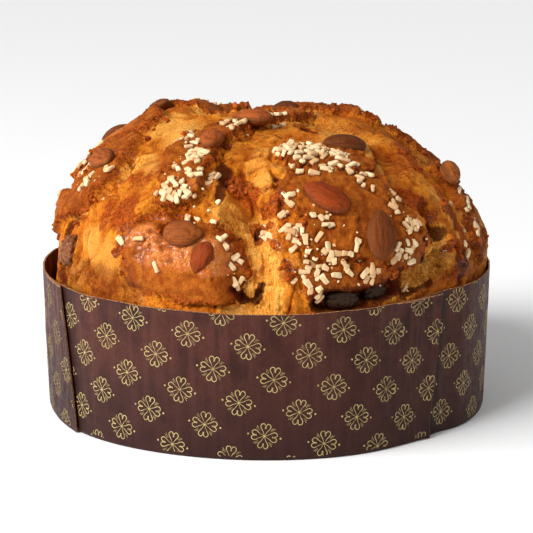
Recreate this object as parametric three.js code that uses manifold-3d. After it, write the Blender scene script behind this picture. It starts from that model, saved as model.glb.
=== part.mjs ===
// A low, wide panettone in the brown paper case it was baked in.
// The dough rose over the rim as a broad dome and tore open. Its almond glaze broke into raised plates,
// which carry whole almonds and nibs of pearl sugar. Two dark raisins and a lump of fruit show at the rim.
// Millimetres, +Z up, with the origin on the table under the middle of the case.
// A bearing is counted from the front (-Y) towards the right (+X), a tilt from straight up.
import * as THREE from "three";
import { mergeVertices } from "three/addons/utils/BufferGeometryUtils.js";
import Module from "manifold-3d";

const wasm = await Module();
wasm.setup();

// Driving dimensions
const CASE_HEIGHT = 66.5;
const CASE_RIM_RADIUS = 105;
const CASE_FOOT_RADIUS = 103;
const PAPER = 0.7;
const GAP = 0.35; // between neighbours that touch
const TURN_IN = 10; // how far the wall's foot is folded in under the base
const DOME_TOP = 133;
const DOME_RADIUS = 102;
const DOME_SQUARENESS = 2.4; // 2 is an ellipse, more is fuller at the shoulder
const DOME_CENTRE = 58; // height of the point that the dome is drawn from
const SEGMENTS = 96; // columns round the case and the dough
const DOME_ROWS = 24;
const NIB = { length: 5.2, width: 2.9, thickness: 2.4 }; // a nib of pearl sugar
const NIB_SINK = 0.7; // how far a nib is pressed into the glaze
const CLEAR_OF_ALMOND = 13; // from a nib to the middle of any almond

const rad = THREE.MathUtils.degToRad;
const smooth = THREE.MathUtils.smoothstep;
const centre = new THREE.Vector3(0, 0, DOME_CENTRE);

// Directions from the dome's centre

function at(bearing, tilt) {
  const [b, t] = [rad(bearing), rad(tilt)];
  return new THREE.Vector3(Math.sin(b) * Math.sin(t), -Math.cos(b) * Math.sin(t), Math.cos(t));
}

function plainRadius(direction) {
  const out = Math.hypot(direction.x, direction.y) / DOME_RADIUS;
  const up = Math.max(direction.z, 0) / (DOME_TOP - DOME_CENTRE);
  return (out ** DOME_SQUARENESS + up ** DOME_SQUARENESS) ** (-1 / DOME_SQUARENESS);
}

// Broad lobes of risen dough: place, half width, height
const SWELLS = [
  [at(-92, 84), 22, -8], // the dough shrank from the paper here
  [at(-97, 60), 24, 2.5],
  [at(-112, 32), 26, 8],
  [at(160, 18), 26, 2],
  [at(112, 34), 26, 5],
  [at(98, 52), 24, -1],
  [at(94, 78), 20, 3],
  [at(-35, 75), 30, 5], // the round lobe at the front left
  [at(28, 62), 38, 3], // the big glazed lobe at the front right
  [at(150, 60), 34, 3],
  [at(205, 62), 32, 3],
];

function swollenRadius(direction) {
  return SWELLS.reduce((radius, [place, width, lift]) => {
    const away = direction.distanceTo(place) * DOME_RADIUS;
    return radius + lift * Math.exp(-((away / width) ** 2));
  }, plainRadius(direction));
}

// Smooth noise from -1 to 1, one bump for each unit of length
function noise(p) {
  const cell = [Math.floor(p.x), Math.floor(p.y), Math.floor(p.z)];
  const part = [p.x - cell[0], p.y - cell[1], p.z - cell[2]].map((t) => t * t * (3 - 2 * t));
  let sum = 0;
  for (let corner = 0; corner < 8; corner++) {
    const step = [corner & 1, (corner >> 1) & 1, corner >> 2];
    const dot = (cell[0] + step[0]) * 127.1 + (cell[1] + step[1]) * 311.7 + (cell[2] + step[2]) * 74.7;
    const value = Math.sin(dot) * 43758.5453;
    const share = step.reduce((product, s, axis) => product * (s ? part[axis] : 1 - part[axis]), 1);
    sum += share * (value - Math.floor(value));
  }
  return 2 * sum - 1;
}

// Seeded random numbers from 0 to 1
function dice(seed) {
  let state = seed;
  return () => {
    state = (state * 16807) % 2147483647;
    return state / 2147483647;
  };
}

// Relief of the dome

// Tears where the dough opened: from, to, half width, depth.
const TEARS = [
  [at(-10, 46), at(-5, 64), 13, 5],
  [at(-5, 64), at(-3, 84), 15, 8],
  [at(78, 19), at(72, 35), 11, 3],
  [at(64, 42), at(45, 57), 9, 4],
  [at(52, 65), at(54, 74), 7, 6],
  [at(52, 76), at(38, 81), 8, 4],
  [at(-66, 67), at(-57, 58), 4, 4],
  [at(-57, 58), at(-62, 47), 4, 3],
  [at(-34, 64), at(-17, 62), 5, 3],
  [at(14, 83), at(32, 82), 6, 5],
  [at(116, 34), at(130, 68), 9, 5],
  [at(150, 62), at(185, 56), 8, 5],
  [at(185, 56), at(195, 84), 9, 6],
  [at(225, 40), at(238, 80), 8, 5],
  [at(195, 26), at(250, 22), 8, 4],
];

// Plates of glaze: from, to, half width, height.
const PLATES = [
  [at(-72, 65), at(-70, 56), 11.5, 4],
  [at(-70, 56), at(-82, 46), 10, 4],
  [at(-106, 51), at(-116, 40), 6, 4],
  [at(-116, 40), at(-134, 26), 5, 4],
  [at(-134, 26), at(-152, 17), 4, 4],
  [at(-28, 54), at(-36, 38), 10.5, 4.5],
  [at(-43, 32), at(-31, 20), 7.5, 4.5],
  [at(-35, 18), at(95, 10), 6, 4.5],
  [at(-29, 75), at(-13, 76), 15, 3],
  [at(-37, 71), at(-29, 65), 5, 3],
  [at(-20, 68), at(-12, 70), 10, 3],
  [at(14, 40), at(35, 46), 9, 4],
  [at(13, 54), at(35, 58), 14, 4],
  [at(18, 66), at(36, 70), 15, 4],
  [at(15, 79), at(27, 77), 9, 4],
  [at(79, 57), at(76, 63), 6, 4],
  [at(75, 68), at(73, 77), 8, 4],
  [at(142, 20), at(106, 36), 4, 3],
  [at(102, 44), at(99, 53), 5, 3],
  [at(124, 46), at(134, 34), 11, 4],
  [at(128, 58), at(142, 72), 12, 4],
  [at(150, 30), at(176, 40), 14, 4],
  [at(198, 70), at(215, 66), 11, 4],
  [at(205, 44), at(222, 26), 11, 4],
  [at(250, 60), at(262, 40), 13, 4],
  [at(264, 76), at(282, 68), 10, 4],
];
const PLATE_EDGE = 2; // width of a plate's broken edge

// Distance over the dome from a direction to the stroke between two others
function strokeDistance(direction, from, to) {
  const along = to.clone().sub(from);
  const share = direction.clone().sub(from).dot(along) / along.lengthSq();
  const nearest = from.clone().addScaledVector(along, Math.min(Math.max(share, 0), 1)).normalize();
  return direction.distanceTo(nearest) * swollenRadius(nearest);
}

function relief(direction) {
  const spot = direction.clone().multiplyScalar(DOME_RADIUS);
  const waver = 2 * noise(spot.clone().multiplyScalar(1 / 9));
  let height = 0.8 * noise(spot.clone().multiplyScalar(1 / 16));
  for (const [from, to, width, depth] of TEARS) {
    const distance = strokeDistance(direction, from, to) + waver;
    height -= depth * (1 - smooth(distance, 0.2 * width, width));
  }
  let plate = 0;
  for (const [from, to, width, lift] of PLATES) {
    const distance = strokeDistance(direction, from, to) + waver;
    plate = Math.max(plate, lift * (1 - smooth(distance, width - PLATE_EDGE, width + PLATE_EDGE)));
  }
  return height + plate;
}

// The paper wall. Its strip is glued twice, and each lap ends in a free edge that faces right.
const LAPS = [
  [-54, -60], // bearing of the free edge at the foot and at the rim
  [46, 49],
];
const LAP_SPAN = 16; // degrees over which the lap rises
const LAP_STEPS = [1.4, 2];
const EDGE_COLUMNS = 0.3; // degrees between the two columns at a free edge
const MAKES_ROOM = 6; // columns on each side that shift for them
const FLATS = [
  [44, 13, -4.2], // pressed-in and bulging stretches: bearing, half width in degrees, depth
  [53, 4, -1.2],
  [-50, 20, 1.2],
  [150, 16, -2],
  [-140, 18, -1],
];

function turnBetween(a, b) {
  return THREE.MathUtils.euclideanModulo(a - b + 180, 360) - 180;
}

function wallRadius(bearing, height) {
  const share = height / CASE_HEIGHT;
  const plain = CASE_FOOT_RADIUS + (CASE_RIM_RADIUS - CASE_FOOT_RADIUS) * share;
  return FLATS.reduce(
    (radius, [middle, width, depth]) => radius + depth * Math.exp(-((turnBetween(bearing, middle) / width) ** 2)),
    plain,
  );
}

// The bearing of a column, and how far the lap lifts the paper there. Two columns stand close together
// on either side of each free edge, and their neighbours make room.
function lapColumn(column, height) {
  const step = 360 / SEGMENTS;
  let [bearing, lift] = [step * column, 0];
  for (const [i, [foot, rim]] of LAPS.entries()) {
    const edge = foot + ((rim - foot) * height) / CASE_HEIGHT;
    const first = Math.round((foot + rim) / 2 / step);
    const past = THREE.MathUtils.euclideanModulo(column - first + SEGMENTS / 2, SEGMENTS) - SEGMENTS / 2;
    const beyond = past > 0 ? EDGE_COLUMNS - step : 0;
    const share = 1 - Math.max(-past, past - 1) / MAKES_ROOM;
    bearing += Math.max(share, 0) * (edge - step * first + beyond);
    if (past <= 0 && past * step > -LAP_SPAN) lift = LAP_STEPS[i] * (1 + (past * step) / LAP_SPAN);
  }
  return [bearing, lift];
}

// The surface of the dough. The dome runs down into the case, and below its rim the dough follows the paper.
const LEAVES_PAPER = 46; // height at which the dough comes away from the wall
const RISES_STRAIGHT = 7; // height above the rim below which the dough can't bulge over it
const MOST_BULGE = 1; // how far it bulges past the inside of the paper
const FOOT_ROUNDING = 4;
const BREAD_FOOT = 2 * PAPER + 2 * GAP;

function insideCase(bearing, height) {
  return wallRadius(bearing, height) - PAPER - GAP;
}

function domePoint(direction, bearing) {
  const radius = swollenRadius(direction) + relief(direction) * smooth(direction.z, 0, 0.1);
  const point = centre.clone().addScaledVector(direction, radius);
  const out = Math.hypot(point.x, point.y);
  const above = Math.min(Math.max(point.z - CASE_HEIGHT - RISES_STRAIGHT, 0), MOST_BULGE);
  const most = insideCase(bearing, Math.min(point.z, CASE_HEIGHT)) + above;
  if (out > most) {
    point.x *= most / out;
    point.y *= most / out;
  }
  return point;
}

function ringPoint(bearing, radius, height) {
  return at(bearing, 90).multiplyScalar(radius).setZ(height);
}

// Bare geometry with its shared corners merged, and its solid
function welded(geometry) {
  const plain = geometry.index ? geometry.clone() : mergeVertices(geometry);
  for (const name of Object.keys(plain.attributes)) {
    if (name !== "position") plain.deleteAttribute(name);
  }
  return mergeVertices(plain, 1e-4);
}

function solid(geometry) {
  const { attributes, index } = welded(geometry);
  return new wasm.Manifold(
    new wasm.Mesh({
      numProp: 3,
      vertProperties: new Float32Array(attributes.position.array),
      triVerts: new Uint32Array(index.array),
    }),
  );
}

function geometryOf(manifold) {
  const mesh = manifold.getMesh();
  const geometry = new THREE.BufferGeometry();
  geometry.setAttribute("position", new THREE.BufferAttribute(mesh.vertProperties, 3));
  geometry.setIndex(new THREE.BufferAttribute(mesh.triVerts, 1));
  geometry.computeVertexNormals();
  return geometry;
}

function eachVertex(geometry, place) {
  const positions = geometry.getAttribute("position");
  const point = new THREE.Vector3();
  for (let i = 0; i < positions.count; i++) {
    point.fromBufferAttribute(positions, i);
    const moved = place(point, i);
    positions.setXYZ(i, moved.x, moved.y, moved.z);
  }
  geometry.computeVertexNormals();
  return geometry;
}

// Paper case: the wall with its foot turned in, and the base disc that lies on that foot
function wallGeometry() {
  const profile = [
    [CASE_FOOT_RADIUS - TURN_IN, 0],
    [CASE_FOOT_RADIUS - PAPER, 0],
    [CASE_FOOT_RADIUS, PAPER],
    [CASE_FOOT_RADIUS, CASE_HEIGHT],
    [CASE_FOOT_RADIUS - PAPER, CASE_HEIGHT],
    [CASE_FOOT_RADIUS - PAPER, PAPER],
    [CASE_FOOT_RADIUS - TURN_IN, PAPER],
    [CASE_FOOT_RADIUS - TURN_IN, 0],
  ].map(([radius, height]) => new THREE.Vector2(radius, height));
  return eachVertex(new THREE.LatheGeometry(profile, SEGMENTS), (point, i) => {
    const [radius, height] = profile[i % profile.length].toArray();
    const [bearing, lift] = lapColumn(Math.floor(i / profile.length) % SEGMENTS, height);
    const shift = wallRadius(bearing, height) - CASE_FOOT_RADIUS;
    return ringPoint(bearing, radius + shift + (radius < CASE_FOOT_RADIUS ? 0 : lift), height);
  });
}

function baseGeometry() {
  const disc = new THREE.CylinderGeometry(1, 1, PAPER, SEGMENTS / 2);
  return eachVertex(disc, (point) => {
    const bearing = THREE.MathUtils.radToDeg(Math.atan2(point.x, point.z));
    const radius = Math.hypot(point.x, point.z) * (insideCase(bearing, 0) - GAP);
    return ringPoint(bearing, radius, point.y + 1.5 * PAPER + GAP);
  });
}

// Dough: rows from the pole down the dome, then down the paper and in under the foot.
// Low down its columns stand behind those of the wall.
function breadGeometry() {
  const onRing = (column, height, inset, level) => {
    const [bearing] = lapColumn(column, height);
    return ringPoint(bearing, insideCase(bearing, height) - inset, level);
  };
  const bodyRows = [
    (column) => onRing(column, LEAVES_PAPER, 0, LEAVES_PAPER),
    (column) => onRing(column, FOOT_ROUNDING, 0, BREAD_FOOT + FOOT_ROUNDING),
    (column) => onRing(column, 0, FOOT_ROUNDING, BREAD_FOOT),
    () => new THREE.Vector3(0, 0, BREAD_FOOT),
  ];
  const rows = DOME_ROWS + bodyRows.length;
  return eachVertex(new THREE.SphereGeometry(1, SEGMENTS, rows), (point, i) => {
    const row = Math.floor(i / (SEGMENTS + 1));
    const column = row === 0 ? 0 : (i % (SEGMENTS + 1)) % SEGMENTS;
    if (row > DOME_ROWS) return bodyRows[row - DOME_ROWS - 1](column);
    const [bearing] = lapColumn(column, CASE_HEIGHT);
    return domePoint(at(bearing, (90 * row) / DOME_ROWS), bearing);
  });
}

// A frame that stands on the dome: z along its normal, x towards another direction
function frameOn(direction, towards, lift) {
  const step = 0.06; // to the places beside it that give the slope
  const surface = (d) => centre.clone().addScaledVector(d, swollenRadius(d));
  const side = new THREE.Vector3().crossVectors(direction, new THREE.Vector3(0.3, 1, 0.2)).normalize();
  const other = new THREE.Vector3().crossVectors(direction, side);
  const slope = (axis) => {
    const [ahead, behind] = [step, -step].map((s) => direction.clone().addScaledVector(axis, s).normalize());
    return surface(ahead).sub(surface(behind));
  };
  const z = new THREE.Vector3().crossVectors(slope(side), slope(other)).normalize();
  if (z.dot(direction) < 0) z.negate();
  const x = towards.clone().addScaledVector(z, -towards.dot(z)).normalize();
  const y = new THREE.Vector3().crossVectors(z, x);
  const spot = surface(direction).addScaledVector(direction, relief(direction)).addScaledVector(z, lift);
  return new THREE.Matrix4().makeBasis(x, y, z).setPosition(spot);
}

// Whole almond in its skin: its long axis along x, blunt at one end and pointed at the other
function almondGeometry([length, width, thickness], grow) {
  return eachVertex(new THREE.SphereGeometry(1, 10, 6), (point) => {
    const along = point.y;
    const taper = 1.04 - 0.1 * along - 0.12 * Math.max(along, 0) ** 2;
    return new THREE.Vector3(
      along * (length / 2 + grow),
      -point.x * taper * (width / 2 + grow),
      point.z * taper * (thickness / 2 + grow),
    );
  });
}

// Almonds: two places that the long axis points through, from the blunt end to the pointed one,
// with the middle between them, then how far that middle stands above the glaze,
// and length, width and thickness
const ALMONDS = [
  [at(-26, 68), at(-17, 67), 1, [17.5, 12, 7.5]],
  [at(-15, 70), at(-17, 75), -0.2, [14.5, 9, 6.5]],
  [at(-27, 40), at(-31, 29), 1.2, [14.5, 10.5, 7.5]],
  [at(-82, 53), at(-68, 52), 1, [19, 11.5, 7.5]],
  [at(-105, 53), at(-108, 45), -0.4, [16, 10.5, 7]],
  [at(-120, 39), at(-114, 34), -0.8, [19, 11, 7]],
  [at(2, 15), at(-39, 15), 0.8, [19.5, 11.5, 7.5]],
  [at(152, 17), at(164, 20), 0.6, [18, 11, 7.5]],
  [at(50, 39), at(36, 34), 1.4, [20, 12.5, 8]],
  [at(22, 62), at(12, 54), 1, [23, 12.5, 8]],
  [at(28, 74), at(31, 63), 1, [22.5, 13, 8]],
  [at(82, 56), at(70, 61), 1.8, [18, 9.5, 8.5]],
  [at(122, 72), at(128, 64), 1, [22.5, 13, 8]],
  [at(146, 72), at(154, 78), 1, [19, 12, 7.5]],
  [at(142, 44), at(150, 50), 1, [21, 13, 8]],
  [at(170, 52), at(164, 58), 1, [22.5, 12.5, 8]],
  [at(196, 74), at(206, 70), 1, [20, 12, 7.5]],
  [at(200, 42), at(192, 48), 1, [22, 13, 8]],
  [at(232, 64), at(240, 58), 1, [18, 11.5, 7.5]],
  [at(226, 42), at(236, 46), 1, [22.5, 12.5, 8]],
  [at(254, 76), at(262, 70), 1, [19, 12, 7.5]],
];

// Raisins and the lump of candied fruit: middle, one end, height above the dough, half sizes
const FRUIT = [
  ["fruit_left", at(-64, 77), at(-65, 72), -1.2, [7.5, 7.2, 5]],
  ["raisin_front", at(19, 83), at(24, 83), -1.2, [7.5, 4.5, 3.8]],
  ["raisin_right", at(29, 82), at(33, 81), -1.2, [6, 4, 3.8]],
];

// Pearl sugar: where it gathered, how far it spread, how many of the largest nibs
const SUGAR = [
  [at(16, 43), 13, 6],
  [at(28, 49), 13, 5],
  [at(-31, 41), 8, 4],
  [at(-28, 55), 9, 4],
  [at(13, 69), 12, 4],
  [at(20, 74), 12, 4],
  [at(36, 72), 10, 4],
  [at(8, 79), 7, 2],
  [at(-72, 59), 9, 3],
  [at(-5, 18), 8, 2],
  [at(-7, 73), 6, 2],
  [at(65, 72), 8, 2],
  [at(126, 44), 13, 3],
  [at(136, 62), 14, 3],
  [at(160, 36), 16, 3],
  [at(206, 62), 14, 3],
  [at(214, 34), 14, 3],
  [at(256, 62), 15, 3],
];

const matt = (name, color, roughness) => new THREE.MeshStandardMaterial({ name, color, roughness });
const MATERIALS = {
  paper: matt("paper", 0x4a2c26, 0.6),
  crust: matt("crust", 0xc98336, 0.6),
  almond: matt("almond", 0x8a4a28, 0.7),
  raisin: matt("raisin", 0x3a2418, 0.55),
};

const panettone = new THREE.Group();

function addNode(name, geometry, material) {
  const mesh = new THREE.Mesh(geometry, material);
  mesh.name = name;
  panettone.add(mesh);
  return mesh;
}

addNode("case_wall", wallGeometry(), MATERIALS.paper);
addNode("case_base", baseGeometry(), MATERIALS.paper);

const placed = [];
const sockets = [];

// Seats a piece on the dough, in a socket that is a little larger
function seat(name, matrix, make, material) {
  sockets.push(solid(make(GAP).applyMatrix4(matrix)));
  placed.push(new THREE.Vector3().setFromMatrixPosition(matrix));
  addNode(name, make(0).applyMatrix4(matrix), material);
}

ALMONDS.forEach(([blunt, pointed, lift, size], i) => {
  const middle = blunt.clone().add(pointed).normalize();
  const matrix = frameOn(middle, pointed.clone().sub(blunt), lift);
  const name = "almond_" + String(i + 1).padStart(2, "0");
  seat(name, matrix, (grow) => almondGeometry(size, grow * 1.3), MATERIALS.almond);
});

FRUIT.forEach(([name, middle, end, lift, half]) => {
  const lump = (grow) =>
    eachVertex(new THREE.IcosahedronGeometry(1, 1), (point) => {
      const knobbly = 1 + 0.08 * Math.sin(9 * point.x + 5 * point.y + 3 * point.z);
      return point.set(
        point.x * (half[0] * knobbly + grow),
        point.y * (half[1] * knobbly + grow),
        point.z * (half[2] * knobbly + grow),
      );
    });
  seat(name, frameOn(middle, end.clone().sub(middle), lift), lump, MATERIALS.raisin);
});

// Nibs of sugar, fused to the glaze
const roll = dice(41);
const spots = [];
const nibs = [];
for (const [middle, spread, count] of SUGAR) {
  let set = 0;
  for (let attempt = 0; set < count && attempt < 60; attempt++) {
    const shift = new THREE.Vector3(roll() - 0.5, roll() - 0.5, roll() - 0.5).multiplyScalar(2 * spread);
    const direction = middle.clone().multiplyScalar(DOME_RADIUS).add(shift).normalize();
    const spot = domePoint(direction, 0);
    const clear = placed.every((p) => p.distanceTo(spot) > CLEAR_OF_ALMOND);
    if (!clear || spots.some((p) => p.distanceTo(spot) < NIB.length) || spot.z < CASE_HEIGHT + NIB.length) continue;
    const heading = new THREE.Vector3(roll() - 0.5, roll() - 0.5, roll() - 0.5);
    const size = 0.8 + 0.4 * roll();
    const box = new THREE.BoxGeometry(NIB.length * size, NIB.width * size, NIB.thickness * size);
    const lift = (NIB.thickness * size) / 2 - NIB_SINK;
    nibs.push(solid(box.applyMatrix4(frameOn(direction, heading, lift))));
    spots.push(spot);
    set += 1;
  }
}
const sugared = nibs.reduce((whole, nib) => whole.add(nib), solid(breadGeometry()));
const hollowed = sockets.reduce((whole, socket) => whole.subtract(socket), sugared);
const bread = hollowed.decompose().reduce((largest, piece) => (piece.volume() > largest.volume() ? piece : largest));
addNode("bread", geometryOf(bread), MATERIALS.crust);

export default panettone;
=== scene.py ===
# A low, wide panettone with an almond glaze, in the brown paper case it was baked in.
# Sizes are in millimetres and degrees here, and the meshes are made in metres.
# A bearing is counted from the front (-Y) towards the right (+X), a tilt from straight up.
import math

import bmesh
import bpy
import numpy as np
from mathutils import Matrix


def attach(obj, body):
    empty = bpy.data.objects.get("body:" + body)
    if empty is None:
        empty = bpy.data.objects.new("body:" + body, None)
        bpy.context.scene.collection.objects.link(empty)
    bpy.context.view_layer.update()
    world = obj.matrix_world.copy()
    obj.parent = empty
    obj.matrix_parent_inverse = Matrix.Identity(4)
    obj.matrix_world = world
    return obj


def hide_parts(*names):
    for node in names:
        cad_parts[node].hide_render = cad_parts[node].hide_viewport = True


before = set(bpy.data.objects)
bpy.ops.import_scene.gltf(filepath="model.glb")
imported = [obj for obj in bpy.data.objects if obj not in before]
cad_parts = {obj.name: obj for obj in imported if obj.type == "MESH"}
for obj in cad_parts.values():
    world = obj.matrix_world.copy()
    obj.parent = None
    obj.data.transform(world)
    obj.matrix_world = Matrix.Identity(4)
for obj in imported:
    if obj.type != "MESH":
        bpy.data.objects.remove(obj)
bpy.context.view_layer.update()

# Paper case: the wall
# A strip of dark brown baking paper, a good 66 mm high, with its foot folded in under the base.
# It starts as an open tube, is turned in at the foot, gets its thickness, and is then pressed to shape.
MM = 0.001
CASE_HEIGHT = 66.5
RIM_RADIUS = 105
FOOT_RADIUS = 103
PAPER = 0.7
TURN_IN = 10
FOOT_FOLD = 1.0  # radius of the fold at the foot
WALL_COLUMNS = 720
WALL_ROWS = 22
ROW_HEIGHTS = np.concatenate([[0, 0.5, 1.4, 3], np.linspace(7, 62, 15), [65, 65.9, 66.25, CASE_HEIGHT]])
FLATS = [  # pressed-in and bulging stretches: bearing, half width in degrees, depth
    (44, 13, -4.2),
    (53, 4, -1.2),
    (-50, 20, 1.2),
    (150, 16, -2),
    (-140, 18, -1),
]
CREASED = [  # stretches with deeper upright wrinkles: bearing, half width in degrees, depth
    (36, 16, 0.34),
    (-84, 22, 0.30),
    (80, 14, 0.24),
    (150, 30, 0.28),
    (-150, 26, 0.22),
]


def vertices_of(piece):
    places = np.empty(3 * len(piece.data.vertices))
    piece.data.vertices.foreach_get("co", places)
    return places.reshape(-1, 3) / MM


def place_vertices(piece, places):
    piece.data.vertices.foreach_set("co", (places * MM).ravel())
    piece.data.update()


def add_attribute(piece, name, values):
    attribute = piece.data.attributes.new(name, "FLOAT", "POINT")
    attribute.data.foreach_set("value", np.asarray(values, np.float32))


def select_in_edit(piece, mode, test):
    bpy.ops.mesh.select_mode(type=mode)
    bpy.ops.mesh.select_all(action="DESELECT")
    mesh = bmesh.from_edit_mesh(piece.data)
    elements = {"VERT": mesh.verts, "EDGE": mesh.edges, "FACE": mesh.faces}[mode]
    for element in elements:
        element.select_set(test(element))
    bmesh.update_edit_mesh(piece.data)


def apply_solidify(piece, thickness):
    solidify = piece.modifiers.new("thickness", "SOLIDIFY")
    solidify.thickness = thickness * MM
    solidify.offset = -1
    solidify.use_even_offset = True
    bpy.ops.object.modifier_apply(modifier=solidify.name)


def smooth(value, low, high):
    share = np.clip((value - low) / (high - low), 0, 1)
    return share * share * (3 - 2 * share)


def bump(value, width):
    return np.exp(-((value / width) ** 2))


def noise(points):
    """Smooth noise from -1 to 1, one bump for each unit of length."""
    cell = np.floor(points)
    part = points - cell
    part = part * part * (3 - 2 * part)
    total = np.zeros(len(points))
    for corner in range(8):
        step = np.array([corner & 1, corner >> 1 & 1, corner >> 2])
        value = np.sin((cell + step) @ np.array([127.1, 311.7, 74.7])) * 43758.5453
        share = np.where(step, part, 1 - part).prod(axis=1)
        total += share * (value - np.floor(value))
    return 2 * total - 1


def turn_between(a, b):
    return (a - b + 180) % 360 - 180


def bearing_of(places):
    return np.degrees(np.arctan2(places[:, 0], -places[:, 1]))


def ring_points(bearing, radius, height):
    turn = np.radians(bearing)
    return np.stack([np.sin(turn) * radius, -np.cos(turn) * radius, height + 0 * turn], axis=1)


def wall_radius(bearing, height):
    radius = FOOT_RADIUS + (RIM_RADIUS - FOOT_RADIUS) * height / CASE_HEIGHT
    for middle, width, depth in FLATS:
        radius = radius + depth * bump(turn_between(bearing, middle), width)
    return radius


def creases(bearing, height):
    """Upright wrinkles that the damp dough left in the paper."""
    depth = 0.07
    for middle, width, most in CREASED:
        depth = depth + most * bump(turn_between(bearing, middle), width)
    ring = ring_points(bearing, RIM_RADIUS, height)
    sharp = 1 - np.abs(noise(ring / [2.6, 2.6, 70]))
    broad = noise(ring / [9, 9, 90] + 5)
    return depth * smooth(height, 0, 8) * (1.1 * sharp**3 - 0.5 + 0.9 * broad)


def rim_wave(bearing, height):
    """The rim isn't cut quite level, and its edge is a little ragged."""
    ring = ring_points(bearing, RIM_RADIUS, 0)
    wave = 0.45 * noise(ring / 17) + 0.1 * noise(ring / 1.3 + 9)
    return wave * smooth(height, 45, CASE_HEIGHT)


bpy.ops.object.select_all(action="DESELECT")
bpy.ops.mesh.primitive_cylinder_add(
    vertices=WALL_COLUMNS,
    radius=FOOT_RADIUS * MM,
    depth=CASE_HEIGHT * MM,
    end_fill_type="NOTHING",
    location=(0, 0, CASE_HEIGHT / 2 * MM),
)
bpy.ops.object.transform_apply(location=True)
wall = bpy.context.object
wall.name = "paper_case"
bpy.ops.object.mode_set(mode="EDIT")
select_in_edit(wall, "EDGE", lambda edge: abs(edge.verts[0].co.z - edge.verts[1].co.z) > 10 * MM)
bpy.ops.mesh.subdivide(number_cuts=WALL_ROWS - 1)
select_in_edit(wall, "EDGE", lambda edge: max(v.co.z for v in edge.verts) < 0.1 * MM)
bpy.ops.mesh.extrude_region_move()
turned_in = (FOOT_RADIUS - TURN_IN) / FOOT_RADIUS
bpy.ops.transform.resize(value=(turned_in, turned_in, 1))
bpy.ops.object.mode_set(mode="OBJECT")
places = vertices_of(wall)
rows = np.rint(places[:, 2] * WALL_ROWS / CASE_HEIGHT).astype(int)
places[:, 2] = ROW_HEIGHTS[rows]
place_vertices(wall, places)
apply_solidify(wall, PAPER)

places = vertices_of(wall)
bearing, height = bearing_of(places), places[:, 2].copy()
radius = np.hypot(places[:, 0], places[:, 1])
inner = (radius < FOOT_RADIUS - PAPER / 2) & (height > PAPER / 2)
radius += wall_radius(bearing, height) - FOOT_RADIUS + creases(bearing, height)
folded = np.clip(1 - height / (1.5 * FOOT_FOLD), 0, 1)
on_wall = radius > FOOT_RADIUS - TURN_IN / 2
radius -= on_wall * FOOT_FOLD * (1 - np.sqrt(1 - folded**2))
place_vertices(wall, ring_points(bearing, radius, height + rim_wave(bearing, height)))
add_attribute(wall, "inside", inner)
add_attribute(wall, "cut", height > CASE_HEIGHT - 0.1)

# Paper case: the laps
# The strip goes round twice over its glued ends, and the free edge of each lap faces right.
# Each is a sheet that leaves the wall slowly and stands off it at the edge, with a shadow below, and the wall
# beside each edge has a painted shadow too.
LAPS = [(-54, -60), (46, 49)]  # bearings of the free edge at the foot and at the rim
LAP_SPAN = 16
LAP_STEPS = [1.4, 2.0]
LAP_COLUMNS = 64
CURLS = [0.5, 0.9]  # how far the edge of each lap curls away
LAP_TUCK = 0.12  # how deep a lap sits in the wall where it starts
LAP_FOOT, LAP_RISE = 0.5, 0.992  # it starts just above the fold and ends just under the rim
LAP_CUT = 0.12  # width of its free edge, in degrees
RIM_CUT = 0.3
LAP_SHADOWS = [0.5, 0.9]  # how dark the painted shadow on the wall beside each edge is


def lap_edge(lap, height):
    foot, rim = LAPS[lap]
    wave = 0.4 * noise(np.stack([height / 11, 0 * height + lap, 0 * height], axis=1))
    return foot + (rim - foot) * height / CASE_HEIGHT + wave


def lap_lift(bearing, height):
    """How far the upper sheet stands off the wall, over the laps and nowhere else."""
    lift = np.zeros(len(bearing))
    for lap in range(len(LAPS)):
        behind = turn_between(lap_edge(lap, height), bearing)
        share = 1 - behind / LAP_SPAN
        curl = CURLS[lap] * np.clip(share, 0, 1) ** 6
        lift += np.where((behind >= 0) & (share > 0), LAP_STEPS[lap] * share + curl, 0)
    return lift


# Painted shadow on the wall just past each lap's free edge, fading out over a few degrees.
lap_shadow = np.zeros(len(bearing))
for lap in range(len(LAPS)):
    past_edge = turn_between(bearing, lap_edge(lap, height))
    lap_shadow = np.maximum(lap_shadow, LAP_SHADOWS[lap] * (past_edge > -1) * (1 - smooth(past_edge, 2, 6)))
add_attribute(wall, "lap_shadow", lap_shadow)
for lap in range(len(LAPS)):
    bpy.ops.object.select_all(action="DESELECT")
    bpy.ops.mesh.primitive_grid_add(x_subdivisions=LAP_COLUMNS, y_subdivisions=WALL_ROWS, size=1)
    sheet = bpy.context.object
    flat = vertices_of(sheet) * MM + 0.5
    height = ROW_HEIGHTS[np.rint(flat[:, 1] * WALL_ROWS).astype(int)]
    share = np.sqrt(flat[:, 0])
    bearing = lap_edge(lap, height) - LAP_SPAN * (1 - share) - 0.01
    radius = wall_radius(bearing, height) + creases(bearing, height) + lap_lift(bearing, height) - LAP_TUCK
    level = height * LAP_RISE + LAP_FOOT + rim_wave(bearing, height)
    place_vertices(sheet, ring_points(bearing, radius, level))
    apply_solidify(sheet, PAPER)
    bearing, height = bearing_of(vertices_of(sheet)), vertices_of(sheet)[:, 2]
    add_attribute(sheet, "inside", np.zeros(len(height)))
    edge = turn_between(lap_edge(lap, height), bearing) < LAP_CUT
    on_rim = height > CASE_HEIGHT - RIM_CUT + rim_wave(bearing, height)
    add_attribute(sheet, "cut", np.where(on_rim, 1.0, 0.3 * edge))
    add_attribute(sheet, "lap_shadow", np.zeros(len(height)))
    wall.select_set(True)
    bpy.context.view_layer.objects.active = wall
    bpy.ops.object.join()
bpy.ops.object.shade_smooth_by_angle(angle=math.radians(40))


def rgb(red, green, blue):
    """A colour as seen on screen, as the shader wants it."""
    shares = [value / 255 for value in (red, green, blue)]
    return tuple(s / 12.92 if s < 0.04045 else ((s + 0.055) / 1.055) ** 2.4 for s in shares) + (1,)


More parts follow.
